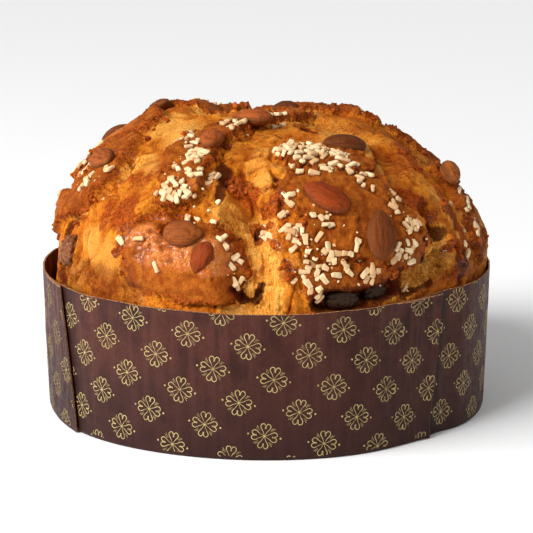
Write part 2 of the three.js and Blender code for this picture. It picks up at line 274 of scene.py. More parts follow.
def new_material(name, **finish):
    made = bpy.data.materials.new(name)
    made.use_nodes = True
    shader = made.node_tree.nodes["Principled BSDF"]
    for socket, value in finish.items():
        shader.inputs[socket.replace("_", " ")].default_value = value
    return made, made.node_tree, shader


def add_node(tree, kind, values, **settings):
    made = tree.nodes.new("ShaderNode" + kind)
    for name, value in settings.items():
        setattr(made, name, value)
    for socket, value in values.items():
        if isinstance(value, bpy.types.NodeSocket):
            tree.links.new(value, made.inputs[socket])
        else:
            made.inputs[socket].default_value = value
    return made


def object_place(tree, stretch=(1, 1, 1)):
    place = add_node(tree, "TexCoord", {}).outputs["Object"]
    return add_node(tree, "Mapping", {"Vector": place, "Scale": stretch}).outputs[0]


def grain(tree, place, size, detail=3, roughness=0.6):
    """Noise whose spots are about size millimetres across."""
    values = {"Vector": place, "Scale": 1 / (size * MM), "Detail": detail, "Roughness": roughness}
    return add_node(tree, "TexNoise", values).outputs["Fac"]


def attribute(tree, name):
    return add_node(tree, "Attribute", {}, attribute_name=name).outputs["Fac"]


def between(tree, value, low, high, to_low=0.0, to_high=1.0):
    """The value's place between two ends, as a share, or as a number between two others."""
    values = {0: value, 1: low, 2: high, 3: to_low, 4: to_high}
    return add_node(tree, "MapRange", values, interpolation_type="SMOOTHSTEP").outputs[0]


def mix(tree, share, under, over, blend="MIX"):
    values = {0: share, 6: under, 7: over}
    return add_node(tree, "Mix", values, data_type="RGBA", blend_type=blend).outputs[2]


def sums(tree, operation, first, second):
    return add_node(tree, "Math", {0: first, 1: second}, operation=operation).outputs[0]


def use_bump(tree, shader, height, distance, strength=1.0, below=None):
    values = {"Height": height, "Distance": distance * MM, "Strength": strength}
    if below is not None:
        values["Normal"] = below
    normal = add_node(tree, "Bump", values).outputs[0]
    tree.links.new(normal, shader.inputs["Normal"])
    return normal


def paper_material():
    made, tree, shader = new_material("brown_baking_paper", Specular_IOR_Level=0.15)
    place = object_place(tree)
    upright = object_place(tree, (1, 1, 0.04))
    blotches = between(tree, grain(tree, place, 34, 4), 0.35, 0.65)
    cloudy = between(tree, grain(tree, place, 8, 4), 0.4, 0.68)
    mottled = between(tree, grain(tree, place, 1.1, 3), 0.3, 0.7)
    streaks = between(tree, grain(tree, upright, 3.5, 3), 0.35, 0.7)
    outside = mix(tree, blotches, rgb(45, 20, 14), rgb(70, 34, 25))
    outside = mix(tree, sums(tree, "MULTIPLY", cloudy, 0.5), outside, rgb(84, 44, 32))
    outside = mix(tree, sums(tree, "MULTIPLY", mottled, 0.45), outside, rgb(44, 18, 18))
    outside = mix(tree, sums(tree, "MULTIPLY", streaks, 0.25), outside, rgb(100, 58, 52))
    # painted shade: the outside of the paper is darker towards the foot
    rising = add_node(tree, "SeparateXYZ", {0: place}).outputs["Z"]
    outside = mix(tree, between(tree, rising, 0.0, 0.055, 0.65, 0.0), outside, rgb(38, 19, 17))
    # painted shadow beside the free edge of each lap
    outside = mix(tree, attribute(tree, "lap_shadow"), outside, rgb(30, 14, 12))
    kraft = mix(tree, streaks, rgb(70, 32, 14), rgb(118, 64, 30))
    colour = mix(tree, attribute(tree, "inside"), outside, kraft)
    ticks = between(tree, grain(tree, place, 0.5, 1), 0.42, 0.58)
    cut_edge = mix(tree, ticks, rgb(196, 144, 96), rgb(92, 52, 34))
    colour = mix(tree, attribute(tree, "cut"), colour, cut_edge)
    tree.links.new(colour, shader.inputs["Base Color"])
    tree.links.new(between(tree, grain(tree, place, 3), 0.3, 0.7, 0.42, 0.6), shader.inputs["Roughness"])
    first = use_bump(tree, shader, grain(tree, upright, 1.1, 3), 0.14, 0.4)
    use_bump(tree, shader, grain(tree, place, 0.5, 2), 0.07, 0.5, first)
    return made


PAPER_MATERIAL = paper_material()
wall.data.materials.clear()
wall.data.materials.append(PAPER_MATERIAL)
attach(wall, "root")
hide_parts("case_wall")

# Paper case: the base
# A disc of the same paper that lies on the folded foot, with its brown side up.
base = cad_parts["case_base"]
base_made, base_tree, base_shader = new_material("brown_paper_base", Roughness=0.6)
base_place = object_place(base_tree)
base_spots = between(base_tree, grain(base_tree, base_place, 12, 4), 0.3, 0.7)
base_colour = mix(base_tree, base_spots, rgb(74, 40, 28), rgb(104, 62, 42))
base_tree.links.new(base_colour, base_shader.inputs["Base Color"])
use_bump(base_tree, base_shader, grain(base_tree, base_place, 0.5, 3), 0.05, 0.5)
base.data.materials.clear()
base.data.materials.append(base_made)

# Print on the paper
# Four heart-shaped petals with a curled notch, fine rays between them and a dot on either side,
# printed in dull gold in slanting rows. Each line is a thin ribbon pressed into the paper.
ROW_TURN = -9.2  # degrees by which the rows and the flowers lean
ROW_STEP = 27.1  # along a row
ROW_GAP = 25.9  # between every second row; each other row stands half a step aside
PRINT_START = (3.2, 37.0)  # arc length from the front and height of the flower in the middle
BACK_SHIFT = (1.3, 0.9)  # how the strip round the back is printed off the front one
PETAL = [  # one half of a petal, from the middle of the flower out and round to its notch
    (0.3, 0.12),
    (2.0, 0.9),
    (3.0, 1.6),
    (3.8, 2.12),
    (4.6, 2.26),
    (5.3, 1.92),
    (5.65, 1.25),
    (5.4, 0.58),
    (4.8, 0.24),
    (4.2, 0.14),
]
PETAL_LINE = 0.38
PETAL_STEPS = 2  # points between two of the petal's
RAYS = [(42, 3.3, 5.8), (49, 3.5, 5.3)]  # bearing between two petals, start and end
RAY_LINE = 0.2
NOTCH_BALL = (3.75, 0.38)
SIDE_DOT = (7.25, 0.46)
HEART = 0.55
INK = 0.06  # how far the print stands proud
INK_BED = 0.25  # how deep its ribbons reach into the paper
DISC_SIDES = 8
PRINT_MARGIN = 0.35  # what the cut edges keep clear
PRINT_FOOT = 1.6  # where the print starts above the fold
FLOWER_REACH = 6
PRINT_ROWS = range(-8, 9)
FRONT_COLUMNS, BACK_COLUMNS = range(-6, 7), range(-2, 24)


def rounded(points, steps):
    """A smooth line that passes through every point, a cubic curve between each two."""
    points = np.array([points[0]] + list(points) + [points[-1]], float)
    line = []
    for a, b, c, d in zip(points, points[1:], points[2:], points[3:]):
        for share in np.arange(steps) / steps:
            line.append(
                0.5 * (2 * b + (c - a) * share + (2 * a - 5 * b + 4 * c - d) * share**2)
                + 0.5 * (3 * b - a - 3 * c + d) * share**3
            )
    return np.array(line + [points[-1]])


def turned(points, degrees):
    c, s = math.cos(math.radians(degrees)), math.sin(math.radians(degrees))
    return np.asarray(points) @ np.array([[c, s], [-s, c]])


def flower_lines():
    """Every line of one flower: its points, and its half width at each."""
    lines = []
    petal = rounded(PETAL, PETAL_STEPS)
    widths = PETAL_LINE / 2 * (0.45 + 0.55 * smooth(petal[:, 0], 0.5, 4))
    for quarter in range(4):
        for side in (1, -1):
            lines.append((turned(petal * [1, side], 90 * quarter), widths))
        for bearing, start, end in RAYS:
            ray = turned([[start, 0], [(start + end) / 2, 0], [end, 0]], 90 * quarter + bearing)
            lines.append((ray, np.array([0.3, 0.8, 1.1]) * RAY_LINE / 2))
    return lines


def flower_discs():
    discs = [((0, 0), HEART), ((SIDE_DOT[0], 0), SIDE_DOT[1]), ((-SIDE_DOT[0], 0), SIDE_DOT[1])]
    for quarter in range(4):
        discs.append((turned([[NOTCH_BALL[0], 0]], 90 * quarter)[0], NOTCH_BALL[1]))
    return discs


def printed_places(flat, depth):
    bearing, height = np.degrees(flat[:, 0] / RIM_RADIUS), flat[:, 1]
    lift = np.maximum(lap_lift(bearing, height) - LAP_TUCK, 0)
    radius = wall_radius(bearing, height) + creases(bearing, height) + lift
    return ring_points(bearing, radius + depth, height)


class Print:
    """Collects the ribbons and discs of the print as one mesh."""

    def __init__(self, from_lap, to_lap):
        self.from_lap, self.to_lap = from_lap, to_lap
        self.places, self.faces, self.count = [], [], 0

    def on_strip(self, flat):
        bearing, height = np.degrees(flat[:, 0] / RIM_RADIUS), flat[:, 1]
        clear = np.degrees(PRINT_MARGIN / RIM_RADIUS)
        start = lap_edge(self.from_lap, height) + clear
        end = lap_edge(self.to_lap, height) - clear + (360 if self.to_lap < self.from_lap else 0)
        top = CASE_HEIGHT - PRINT_MARGIN + rim_wave(bearing, height)
        return (bearing > start) & (bearing < end) & (height > PRINT_FOOT) & (height < top)

    def add(self, flat, faces):
        shown, bed = printed_places(flat, INK), printed_places(flat, -INK_BED)
        self.places += [shown, bed]
        self.faces += [[corner + self.count for corner in face] for face in faces]
        self.count += 2 * len(flat)

    def add_line(self, points, widths):
        ahead = np.gradient(points, axis=0)
        ahead /= np.linalg.norm(ahead, axis=1)[:, None]
        aside = np.stack([-ahead[:, 1], ahead[:, 0]], axis=1) * widths[:, None]
        flat = np.concatenate([points + aside, points - aside])
        inside = self.on_strip(points)
        steps, top = len(points), 2 * len(points)
        for start in range(steps - 1):
            if not (inside[start] and inside[start + 1]) or (start and inside[start - 1]):
                continue
            end = start + 1
            while end + 1 < steps and inside[end + 1]:
                end += 1
            faces = [[start, start + steps, start + steps + top, start + top]]
            faces.append([end + steps, end, end + top, end + steps + top])
            for i in range(start, end):
                left, right = [i, i + 1], [i + steps, i + steps + 1]
                faces.append([left[1], left[0], right[0], right[1]][::-1])
                faces.append([left[0] + top, left[1] + top, right[1] + top, right[0] + top][::-1])
                faces.append([left[0], left[1], left[1] + top, left[0] + top][::-1])
                faces.append([right[1], right[0], right[0] + top, right[1] + top][::-1])
            self.add(flat, faces)

    def add_disc(self, middle, radius):
        turns = 2 * math.pi * np.arange(DISC_SIDES) / DISC_SIDES
        flat = np.asarray(middle) + radius * np.stack([np.cos(turns), np.sin(turns)], axis=1)
        if not self.on_strip(flat).all():
            return
        sides = [[i, (i + 1) % DISC_SIDES] for i in range(DISC_SIDES)]
        faces = [list(range(DISC_SIDES)), [DISC_SIDES + i for i in reversed(range(DISC_SIDES))]]
        faces += [[b, a, a + DISC_SIDES, b + DISC_SIDES] for a, b in sides]
        self.add(flat, faces)


LINES, DISCS = flower_lines(), flower_discs()
strips = [(Print(0, 1), (0, 0), FRONT_COLUMNS), (Print(1, 0), BACK_SHIFT, BACK_COLUMNS)]
for strip, shift, reach in strips:
    for row in PRINT_ROWS:
        for step in reach:
            along = ROW_STEP * (step + 0.5 * (row % 2))
            up = ROW_GAP / 2 * row
            middle = turned([[along, up]], ROW_TURN)[0] + PRINT_START + shift
            if not -FLOWER_REACH < middle[1] < CASE_HEIGHT + FLOWER_REACH:
                continue
            for points, widths in LINES:
                strip.add_line(turned(points, ROW_TURN) + middle, widths)
            for spot, size in DISCS:
                strip.add_disc(turned([spot], ROW_TURN)[0] + middle, size)

mesh = bpy.data.meshes.new("gold_print")
print_places = np.concatenate([part for strip, _, _ in strips for part in strip.places])
print_faces = list(strips[0][0].faces)
print_faces += [[corner + strips[0][0].count for corner in face] for face in strips[1][0].faces]
mesh.from_pydata((print_places * MM).tolist(), [], print_faces)
gold_print = bpy.data.objects.new("gold_print", mesh)
bpy.context.scene.collection.objects.link(gold_print)
bpy.ops.object.select_all(action="DESELECT")
gold_print.select_set(True)
bpy.context.view_layer.objects.active = gold_print
bpy.ops.object.mode_set(mode="EDIT")
bpy.ops.mesh.select_all(action="SELECT")
bpy.ops.mesh.delete_loose()
bpy.ops.mesh.select_all(action="SELECT")
bpy.ops.mesh.normals_make_consistent(inside=False)
bpy.ops.object.mode_set(mode="OBJECT")

ink_made, ink_tree, ink_shader = new_material("dull_gold_ink", Roughness=0.55, Specular_IOR_Level=0.3)
ink_place = object_place(ink_tree)
worn = between(ink_tree, grain(ink_tree, ink_place, 2.4, 3), 0.3, 0.6)
ink_colour = mix(ink_tree, worn, rgb(128, 110, 68), rgb(172, 153, 100))
to_the_left = add_node(ink_tree, "SeparateXYZ", {0: ink_place}).outputs["X"]
rubbed = between(ink_tree, to_the_left, -0.1, -0.082, 0.6, 0.0)
ink_colour = mix(ink_tree, rubbed, ink_colour, rgb(104, 80, 58))
ink_tree.links.new(ink_colour, ink_shader.inputs["Base Color"])
gold_print.data.materials.append(ink_made)
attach(gold_print, "root")

# Dough
# A soft egg dough that rose over the rim as a broad dome and tore open, with its glaze baked on in plates.
# It starts as a flat sheet that is drawn over the dome; its border goes down the paper and under the foot.
# The glaze is part of the same skin: where it lies, and how deep its edges are, is kept in attributes.
DOME_TOP = 133
DOME_RADIUS = 102
DOME_SQUARENESS = 2.4
DOME_CENTRE = 58
GAP = 0.35  # between the solid dough and the paper
SKIN_INSET = 0.3  # how far inside the solid's side the skin lies
BREAD_FOOT = 2 * PAPER + 2 * GAP
LEAVES_PAPER = 46  # height where the skirt begins
RISES_STRAIGHT = 7  # how far above the rim the dough still keeps to the paper's width
MOST_BULGE = 1  # how far it may stand out above that
FOOT_ROUNDING = 4
SHEET_CELLS = 290
FRONT_PULL = 0.2  # shifts the middle of the sheet forward, so that the mesh is closer in front
SKIRT_ROWS = 4
SKIRT_STEP = 0.1
TEAR_SHARE = 1.2  # how much deeper the skin's tears are than the solid's
CHIP_WIDTH = 9  # how far a chipped plate draws back


def at(bearing, tilt):
    b, t = math.radians(bearing), math.radians(tilt)
    return np.array([math.sin(b) * math.sin(t), -math.cos(b) * math.sin(t), math.cos(t)])


def stroke_table(rows):
    """Strokes over the dome: the bearing and tilt of one end and of the other, and what else the row says."""
    return [(at(*row[:2]), at(*row[2:4]), *row[4:]) for row in rows]


SWELLS = [  # broad lobes: place, half width, height
    (at(-92, 84), 22, -8),
    (at(-97, 60), 24, 2.5),
    (at(-112, 32), 26, 8),
    (at(160, 18), 26, 2),
    (at(112, 34), 26, 5),
    (at(98, 52), 24, -1),
    (at(94, 78), 20, 3),
    (at(-35, 75), 30, 5),
    (at(28, 62), 38, 3),
    (at(150, 60), 34, 3),
    (at(205, 62), 32, 3),
]
TEARS = stroke_table([  # where the dough opened: from, to, half width, depth
    (-10, 46, -5, 64, 13, 5),
    (-5, 64, -4, 84, 16, 8),
    (-16, 64, -6, 66, 7, 0.5),
    (78, 19, 72, 35, 11, 3),
    (64, 42, 45, 57, 9, 4),
    (52, 65, 54, 74, 7, 6),
    (52, 76, 38, 81, 9, 4),
    (-66, 67, -57, 58, 4, 4),
    (-57, 58, -62, 47, 4, 3),
    (-34, 64, -17, 62, 5, 3),
    (14, 83, 32, 82, 6, 5),
    (116, 34, 130, 68, 9, 5),
    (150, 62, 185, 56, 8, 5),
    (185, 56, 195, 84, 9, 6),
    (225, 40, 238, 80, 8, 5),
    (195, 26, 250, 22, 8, 4),
])
PLATES = stroke_table([  # plates of glaze: from, to, half width, height
    (-72, 65, -70, 56, 11.5, 4),
    (-70, 56, -82, 46, 10, 4),
    (-106, 51, -116, 40, 6, 4),
    (-116, 40, -134, 26, 5, 4),
    (-134, 26, -152, 17, 4, 4),
    (-28, 54, -36, 38, 10.5, 4.5),
    (-43, 32, -31, 20, 7.5, 4.5),
    (-35, 18, 95, 10, 6, 4.5),
    (-29, 75, -13, 76, 15, 3),
    (-37, 71, -29, 65, 5, 3),
    (-20, 68, -12, 70, 10, 3),
    (14, 40, 35, 46, 9, 4),
    (13, 54, 35, 58, 14, 4),
    (18, 66, 36, 70, 15, 4),
    (15, 79, 27, 77, 9, 4),
    (79, 57, 76, 63, 6, 4),
    (75, 68, 73, 77, 8, 4),
    (142, 20, 106, 36, 4, 3),
    (102, 44, 99, 53, 5, 3),
    (124, 46, 134, 34, 11, 4),
    (128, 58, 142, 72, 12, 4),
    (150, 30, 176, 40, 14, 4),
    (198, 70, 215, 66, 11, 4),
    (205, 44, 222, 26, 11, 4),
    (250, 60, 262, 40, 13, 4),
    (264, 76, 282, 68, 10, 4),
])
ALMONDS = stroke_table([  # two places along it, the blunt end's first; lift, three sizes, colour
    (-26, 68, -17, 67, 1, (17.5, 12, 7.5), 0.3),
    (-15, 70, -17, 75, -0.2, (14.5, 9, 6.5), 0.8),
    (-27, 40, -31, 29, 1.2, (14.5, 10.5, 7.5), 0.6),
    (-82, 53, -68, 52, 1, (19, 11.5, 7.5), 0.35),
    (-105, 53, -108, 45, -0.4, (16, 10.5, 7), 0.15),
    (-120, 39, -114, 34, -0.8, (19, 11, 7), 0.2),
    (2, 15, -39, 15, 0.8, (19.5, 11.5, 7.5), 0.6),
    (152, 17, 164, 20, 0.6, (18, 11, 7.5), 0.05),
    (50, 39, 36, 34, 1.4, (20, 12.5, 8), 0.1),
    (22, 62, 12, 54, 1, (23, 12.5, 8), 0.85),
    (28, 74, 31, 63, 1, (22.5, 13, 8), 0.16),
    (82, 56, 70, 61, 1.8, (18, 9.5, 8.5), 1.0),
    (122, 72, 128, 64, 1, (22.5, 13, 8), 0.5),
    (146, 72, 154, 78, 1, (19, 12, 7.5), 0.7),
    (142, 44, 150, 50, 1, (21, 13, 8), 0.4),
    (170, 52, 164, 58, 1, (22.5, 12.5, 8), 0.6),
    (196, 74, 206, 70, 1, (20, 12, 7.5), 0.3),
    (200, 42, 192, 48, 1, (22, 13, 8), 0.75),
    (232, 64, 240, 58, 1, (18, 11.5, 7.5), 0.5),
    (226, 42, 236, 46, 1, (22.5, 12.5, 8), 0.2),
    (254, 76, 262, 70, 1, (19, 12, 7.5), 0.6),
])
FOLDS = stroke_table([  # narrow creases between lobes of skin: from, to, half width, depth
    (-61, 66, -53, 73, 1.4, 1.8),
    (-55, 71, -50, 79, 1.8, 2.6),
    (-51, 78, -57, 84, 1.6, 2.2),
    (-34, 77, -33, 85, 1.5, 1.4),
    (-47, 72, -41, 71, 1.2, 0.8),
    (44, 79, 36, 83, 1.6, 1.6),
    (60, 74, 58, 80, 2.0, 2.0),
    (67, 52, 48, 60, 1.3, 1.4),
    (-15, 40, -2, 37, 1.2, 1.4),
    (-12, 44, 2, 42, 1.0, 1.2),
    (-16, 50, -1, 47, 1.2, 1.5),
    (-8, 51, -2, 58, 1.1, 1.6),
    (-12, 42, -9, 47, 1.0, 1.5),
    (2, 46, 5, 53, 1.2, 1.5),
    (46, 76, 60, 75, 1.5, 1.6),
    (120, 78, 150, 80, 1.6, 1.4),
    (170, 70, 174, 84, 1.6, 1.8),
    (215, 78, 226, 84, 1.6, 1.8),
])
CHIPPED = stroke_table([  # where the glaze broke off its plate: from, to, half width, share
    (-74, 74, -46, 71, 6, 1.0),
    (2, 73, 3, 80, 3, 1.0),
])
CARAMEL = stroke_table([  # glassy lumps of burnt sugar along the plates: from, to, half width, height
    (-40, 74, -39, 73, 2.6, 2.2),
    (-14, 47, -10, 51, 4.2, 2.6),
    (-42, 68, -36, 66, 1.8, 1.0),
    (-36, 64, -26, 63, 2.6, 1.2),
    (0, 59, 4, 56, 3.6, 1.6),
    (-4, 64, 1, 63, 2.4, 1.2),
    (2, 68, 3, 69, 2.4, 1.4),
    (5, 74, 6, 76, 3.0, 1.2),
    (-13, 66, -9, 66, 2.0, 1.0),
    (-9, 69, -7, 74, 1.6, 0.8),
    (50, 67, 56, 66, 2.4, 1.2),
    (59, 72, 57, 75, 2.0, 1.2),
    (61, 79, 60, 81, 5.5, 3.0),
    (66, 60, 60, 66, 2.6, 1.2),
    (-76, 50, -69, 46, 2.0, 1.0),
    (184, 50, 190, 47, 2.6, 1.2),
    (236, 60, 240, 66, 2.6, 1.2),
])
HEALED = stroke_table([  # stretches of the tears that baked to a smooth skin: from, to, half width, share
    (-12, 40, -5, 52, 15, 1.0),
    (-38, 64, -20, 62, 7, 1.0),
    (50, 60, 52, 67, 9, 0.8),
    (66, 42, 44, 58, 12, 0.9),
    (78, 19, 72, 36, 12, 0.5),
    (60, 80, 64, 84, 6, 0.8),
    (-66, 67, -60, 60, 6, 0.5),
])
SIDE_SHADE = stroke_table([  # painted shade on the sides of the dome, low down and on the right: from, to, half width, strength
    (-66, 82, -36, 83, 12, 0.7),
    (16, 84, 32, 84, 9, 0.5),
    (38, 80, 70, 81, 12, 0.6),
    (53, 64, 62, 68, 10, 0.45),
    (95, 46, 82, 74, 20, 0.4),
    (100, 82, 135, 82, 12, 0.6),
    (150, 82, 210, 82, 14, 0.6),
    (230, 82, 275, 82, 14, 0.6),
])
BROWNED = stroke_table([  # where the bare dough browned: from, to, half width, strength
    (-45, 62, -43, 65, 9, 1.0),
    (-49, 55, -41, 49, 4, 0.5),
    (-47, 54, -45, 44, 5, 0.6),
    (-59, 55, -52, 52, 4, 0.7),
    (-14, 48, -6, 53, 7.5, 1.0),
    (-4, 62, -2, 66, 4, 0.8),
    (0, 58, 5, 62, 4, 0.8),
    (69, 45, 56, 54, 5, 0.5),
    (80, 44, 68, 53, 6, 0.8),
    (47, 58, 51, 62, 7, 1.0),
    (53, 66, 52, 72, 6, 1.0),
    (63, 66, 64, 74, 5, 0.9),
    (17, 82, 35, 81, 5, 1.0),
    (61, 76, 58, 82, 6, 1.0),
    (1, 66, 4, 71, 4, 0.5),
    (-52, 62, -50, 68, 3.5, 0.7),
    (-37, 64, -24, 63, 4, 0.6),
    (-61, 68, -66, 70, 3, 0.8),
    (80, 24, 88, 36, 6, 0.5),
    (43, 22, 45, 16, 4, 0.7),
    (128, 62, 152, 64, 6, 0.5),
    (190, 56, 186, 70, 7, 0.6),
    (230, 50, 234, 66, 7, 0.6),
])
HOLLOWS = stroke_table([  # deep gaps between skin and glaze, with painted shade in them: from, to, half width, depth
    (-18, 44, -16, 49, 3.4, 3.4),
    (-16, 50, -15, 57, 2.2, 1.8),
    (-3, 63, -3, 65, 2.0, 1.0),
    (-8, 80, -6, 83, 2.2, 2.4),
    (50, 65, 56, 71, 3.2, 2.8),
    (44, 71, 46, 75, 1.8, 1.8),
    (35, 78, 36, 83, 2.4, 3.2),
    (36, 84, 47, 82, 2.0, 2.4),
    (62, 78, 59, 83, 3.0, 3.0),
    (45, 18, 44, 23, 2.0, 1.5),
    (-1, 79, -3, 83, 2.0, 2.2),
    (11, 82, 12, 84, 2.2, 2.2),
    (160, 50, 176, 55, 2.2, 2.4),
    (206, 54, 214, 52, 2.2, 2.4),
    (244, 52, 240, 62, 2.2, 2.4),
])
PALE_GLAZE = stroke_table([  # where the glaze stayed pale: from, to, half width, strength
    (-30, 72, -12, 72, 9.5, 1.0),
    (-37, 71, -31, 68, 5, 0.8),
    (-27, 54, -25, 52, 6, 0.5),
    (73, 60, 71, 74, 8, 0.4),
    (130, 60, 140, 70, 9, 0.8),
    (204, 66, 214, 66, 8, 0.7),
    (252, 56, 258, 44, 9, 0.6),
])
BRIGHT_SKIN = stroke_table([  # where the dough kept the yellow of its eggs: from, to, half width, strength
    (-90, 33, -60, 30, 14, 0.8),
    (-76, 66, -62, 67, 5, 0.9),
    (-54, 72, -42, 76, 10, 0.6),
    (-8, 41, -2, 36, 6, 0.6),
    (-6, 50, 2, 50, 6, 0.8),
    (66, 24, 48, 50, 8, 0.7),
    (-12, 62, -8, 72, 10, 1.0),
    (-7, 72, -3, 80, 6, 0.8),
    (60, 30, 48, 32, 12, 0.7),
    (46, 52, 42, 54, 6, 0.5),
    (-56, 46, -50, 48, 5, 0.8),
    (186, 60, 192, 74, 10, 0.8),
    (120, 34, 128, 54, 9, 0.6),
])


def plain_radius(directions):
    out = np.hypot(directions[:, 0], directions[:, 1]) / DOME_RADIUS
    up = np.maximum(directions[:, 2], 0) / (DOME_TOP - DOME_CENTRE)
    return (out**DOME_SQUARENESS + up**DOME_SQUARENESS) ** (-1 / DOME_SQUARENESS)


def distance_between(directions, place):
    return np.linalg.norm(directions - place, axis=1)


def swollen_radius(directions):
    radius = plain_radius(directions)
    for place, width, lift in SWELLS:
        radius = radius + lift * bump(distance_between(directions, place) * DOME_RADIUS, width)
    return radius


def unit(vectors):
    return vectors / np.linalg.norm(vectors, axis=1)[:, None]


def stroke_distance(directions, start, end):
    """Distance over the dome from each direction to the stroke between two others."""
    along = end - start
    share = np.clip((directions - start) @ along / (along @ along), 0, 1)
    nearest = unit(start + share[:, None] * along)
    return distance_between(directions, nearest) * swollen_radius(nearest)


def coarse_relief(directions):
    """The relief of the solid part: broad tears and plates. Pieces on the dough are seated on it."""
    spot = directions * DOME_RADIUS
    waver = 2 * noise(spot / 9)
    height = 0.8 * noise(spot / 16)
    for start, end, width, depth in TEARS:
        distance = stroke_distance(directions, start, end) + waver
        height -= depth * (1 - smooth(distance, 0.2 * width, width))
    plate = np.zeros(len(directions))
    for start, end, width, lift in PLATES:
        distance = stroke_distance(directions, start, end) + waver
        plate = np.maximum(plate, lift * (1 - smooth(distance, width - 2, width + 2)))
    return height + plate


def fibres(directions, start, end):
    """Strands of crumb that run along a tear."""
    spot = directions * DOME_RADIUS
    ahead = (end - start) / np.linalg.norm(end - start)
    along = spot @ ahead
    across = spot - along[:, None] * ahead
    bend = 1.6 * noise(spot / 11 + 3)[:, None]
    strands = noise(across / 1.9 + bend + ahead * along[:, None] / 9)
    return 1 - 2 * np.abs(strands)


def clear_of_nuts(directions):
    """0 under an almond and 1 well away from all, because the almonds are seated on the coarse relief."""
    nearest = np.full(len(directions), 40.0)
    for almond in ALMONDS:
        nearest = np.minimum(nearest, stroke_distance(directions, almond[0], almond[1]))
    return smooth(nearest, 5, 13)


def strokes(directions, table, raggedness):
    """How strongly a table's strokes cover each direction, from 0 to 1."""
    covered = np.zeros(len(directions))
    for start, end, width, strength in table:
        distance = stroke_distance(directions, start, end) + raggedness
        covered = np.maximum(covered, strength * (1 - smooth(distance, 0.5 * width, 1.1 * width)))
    return covered


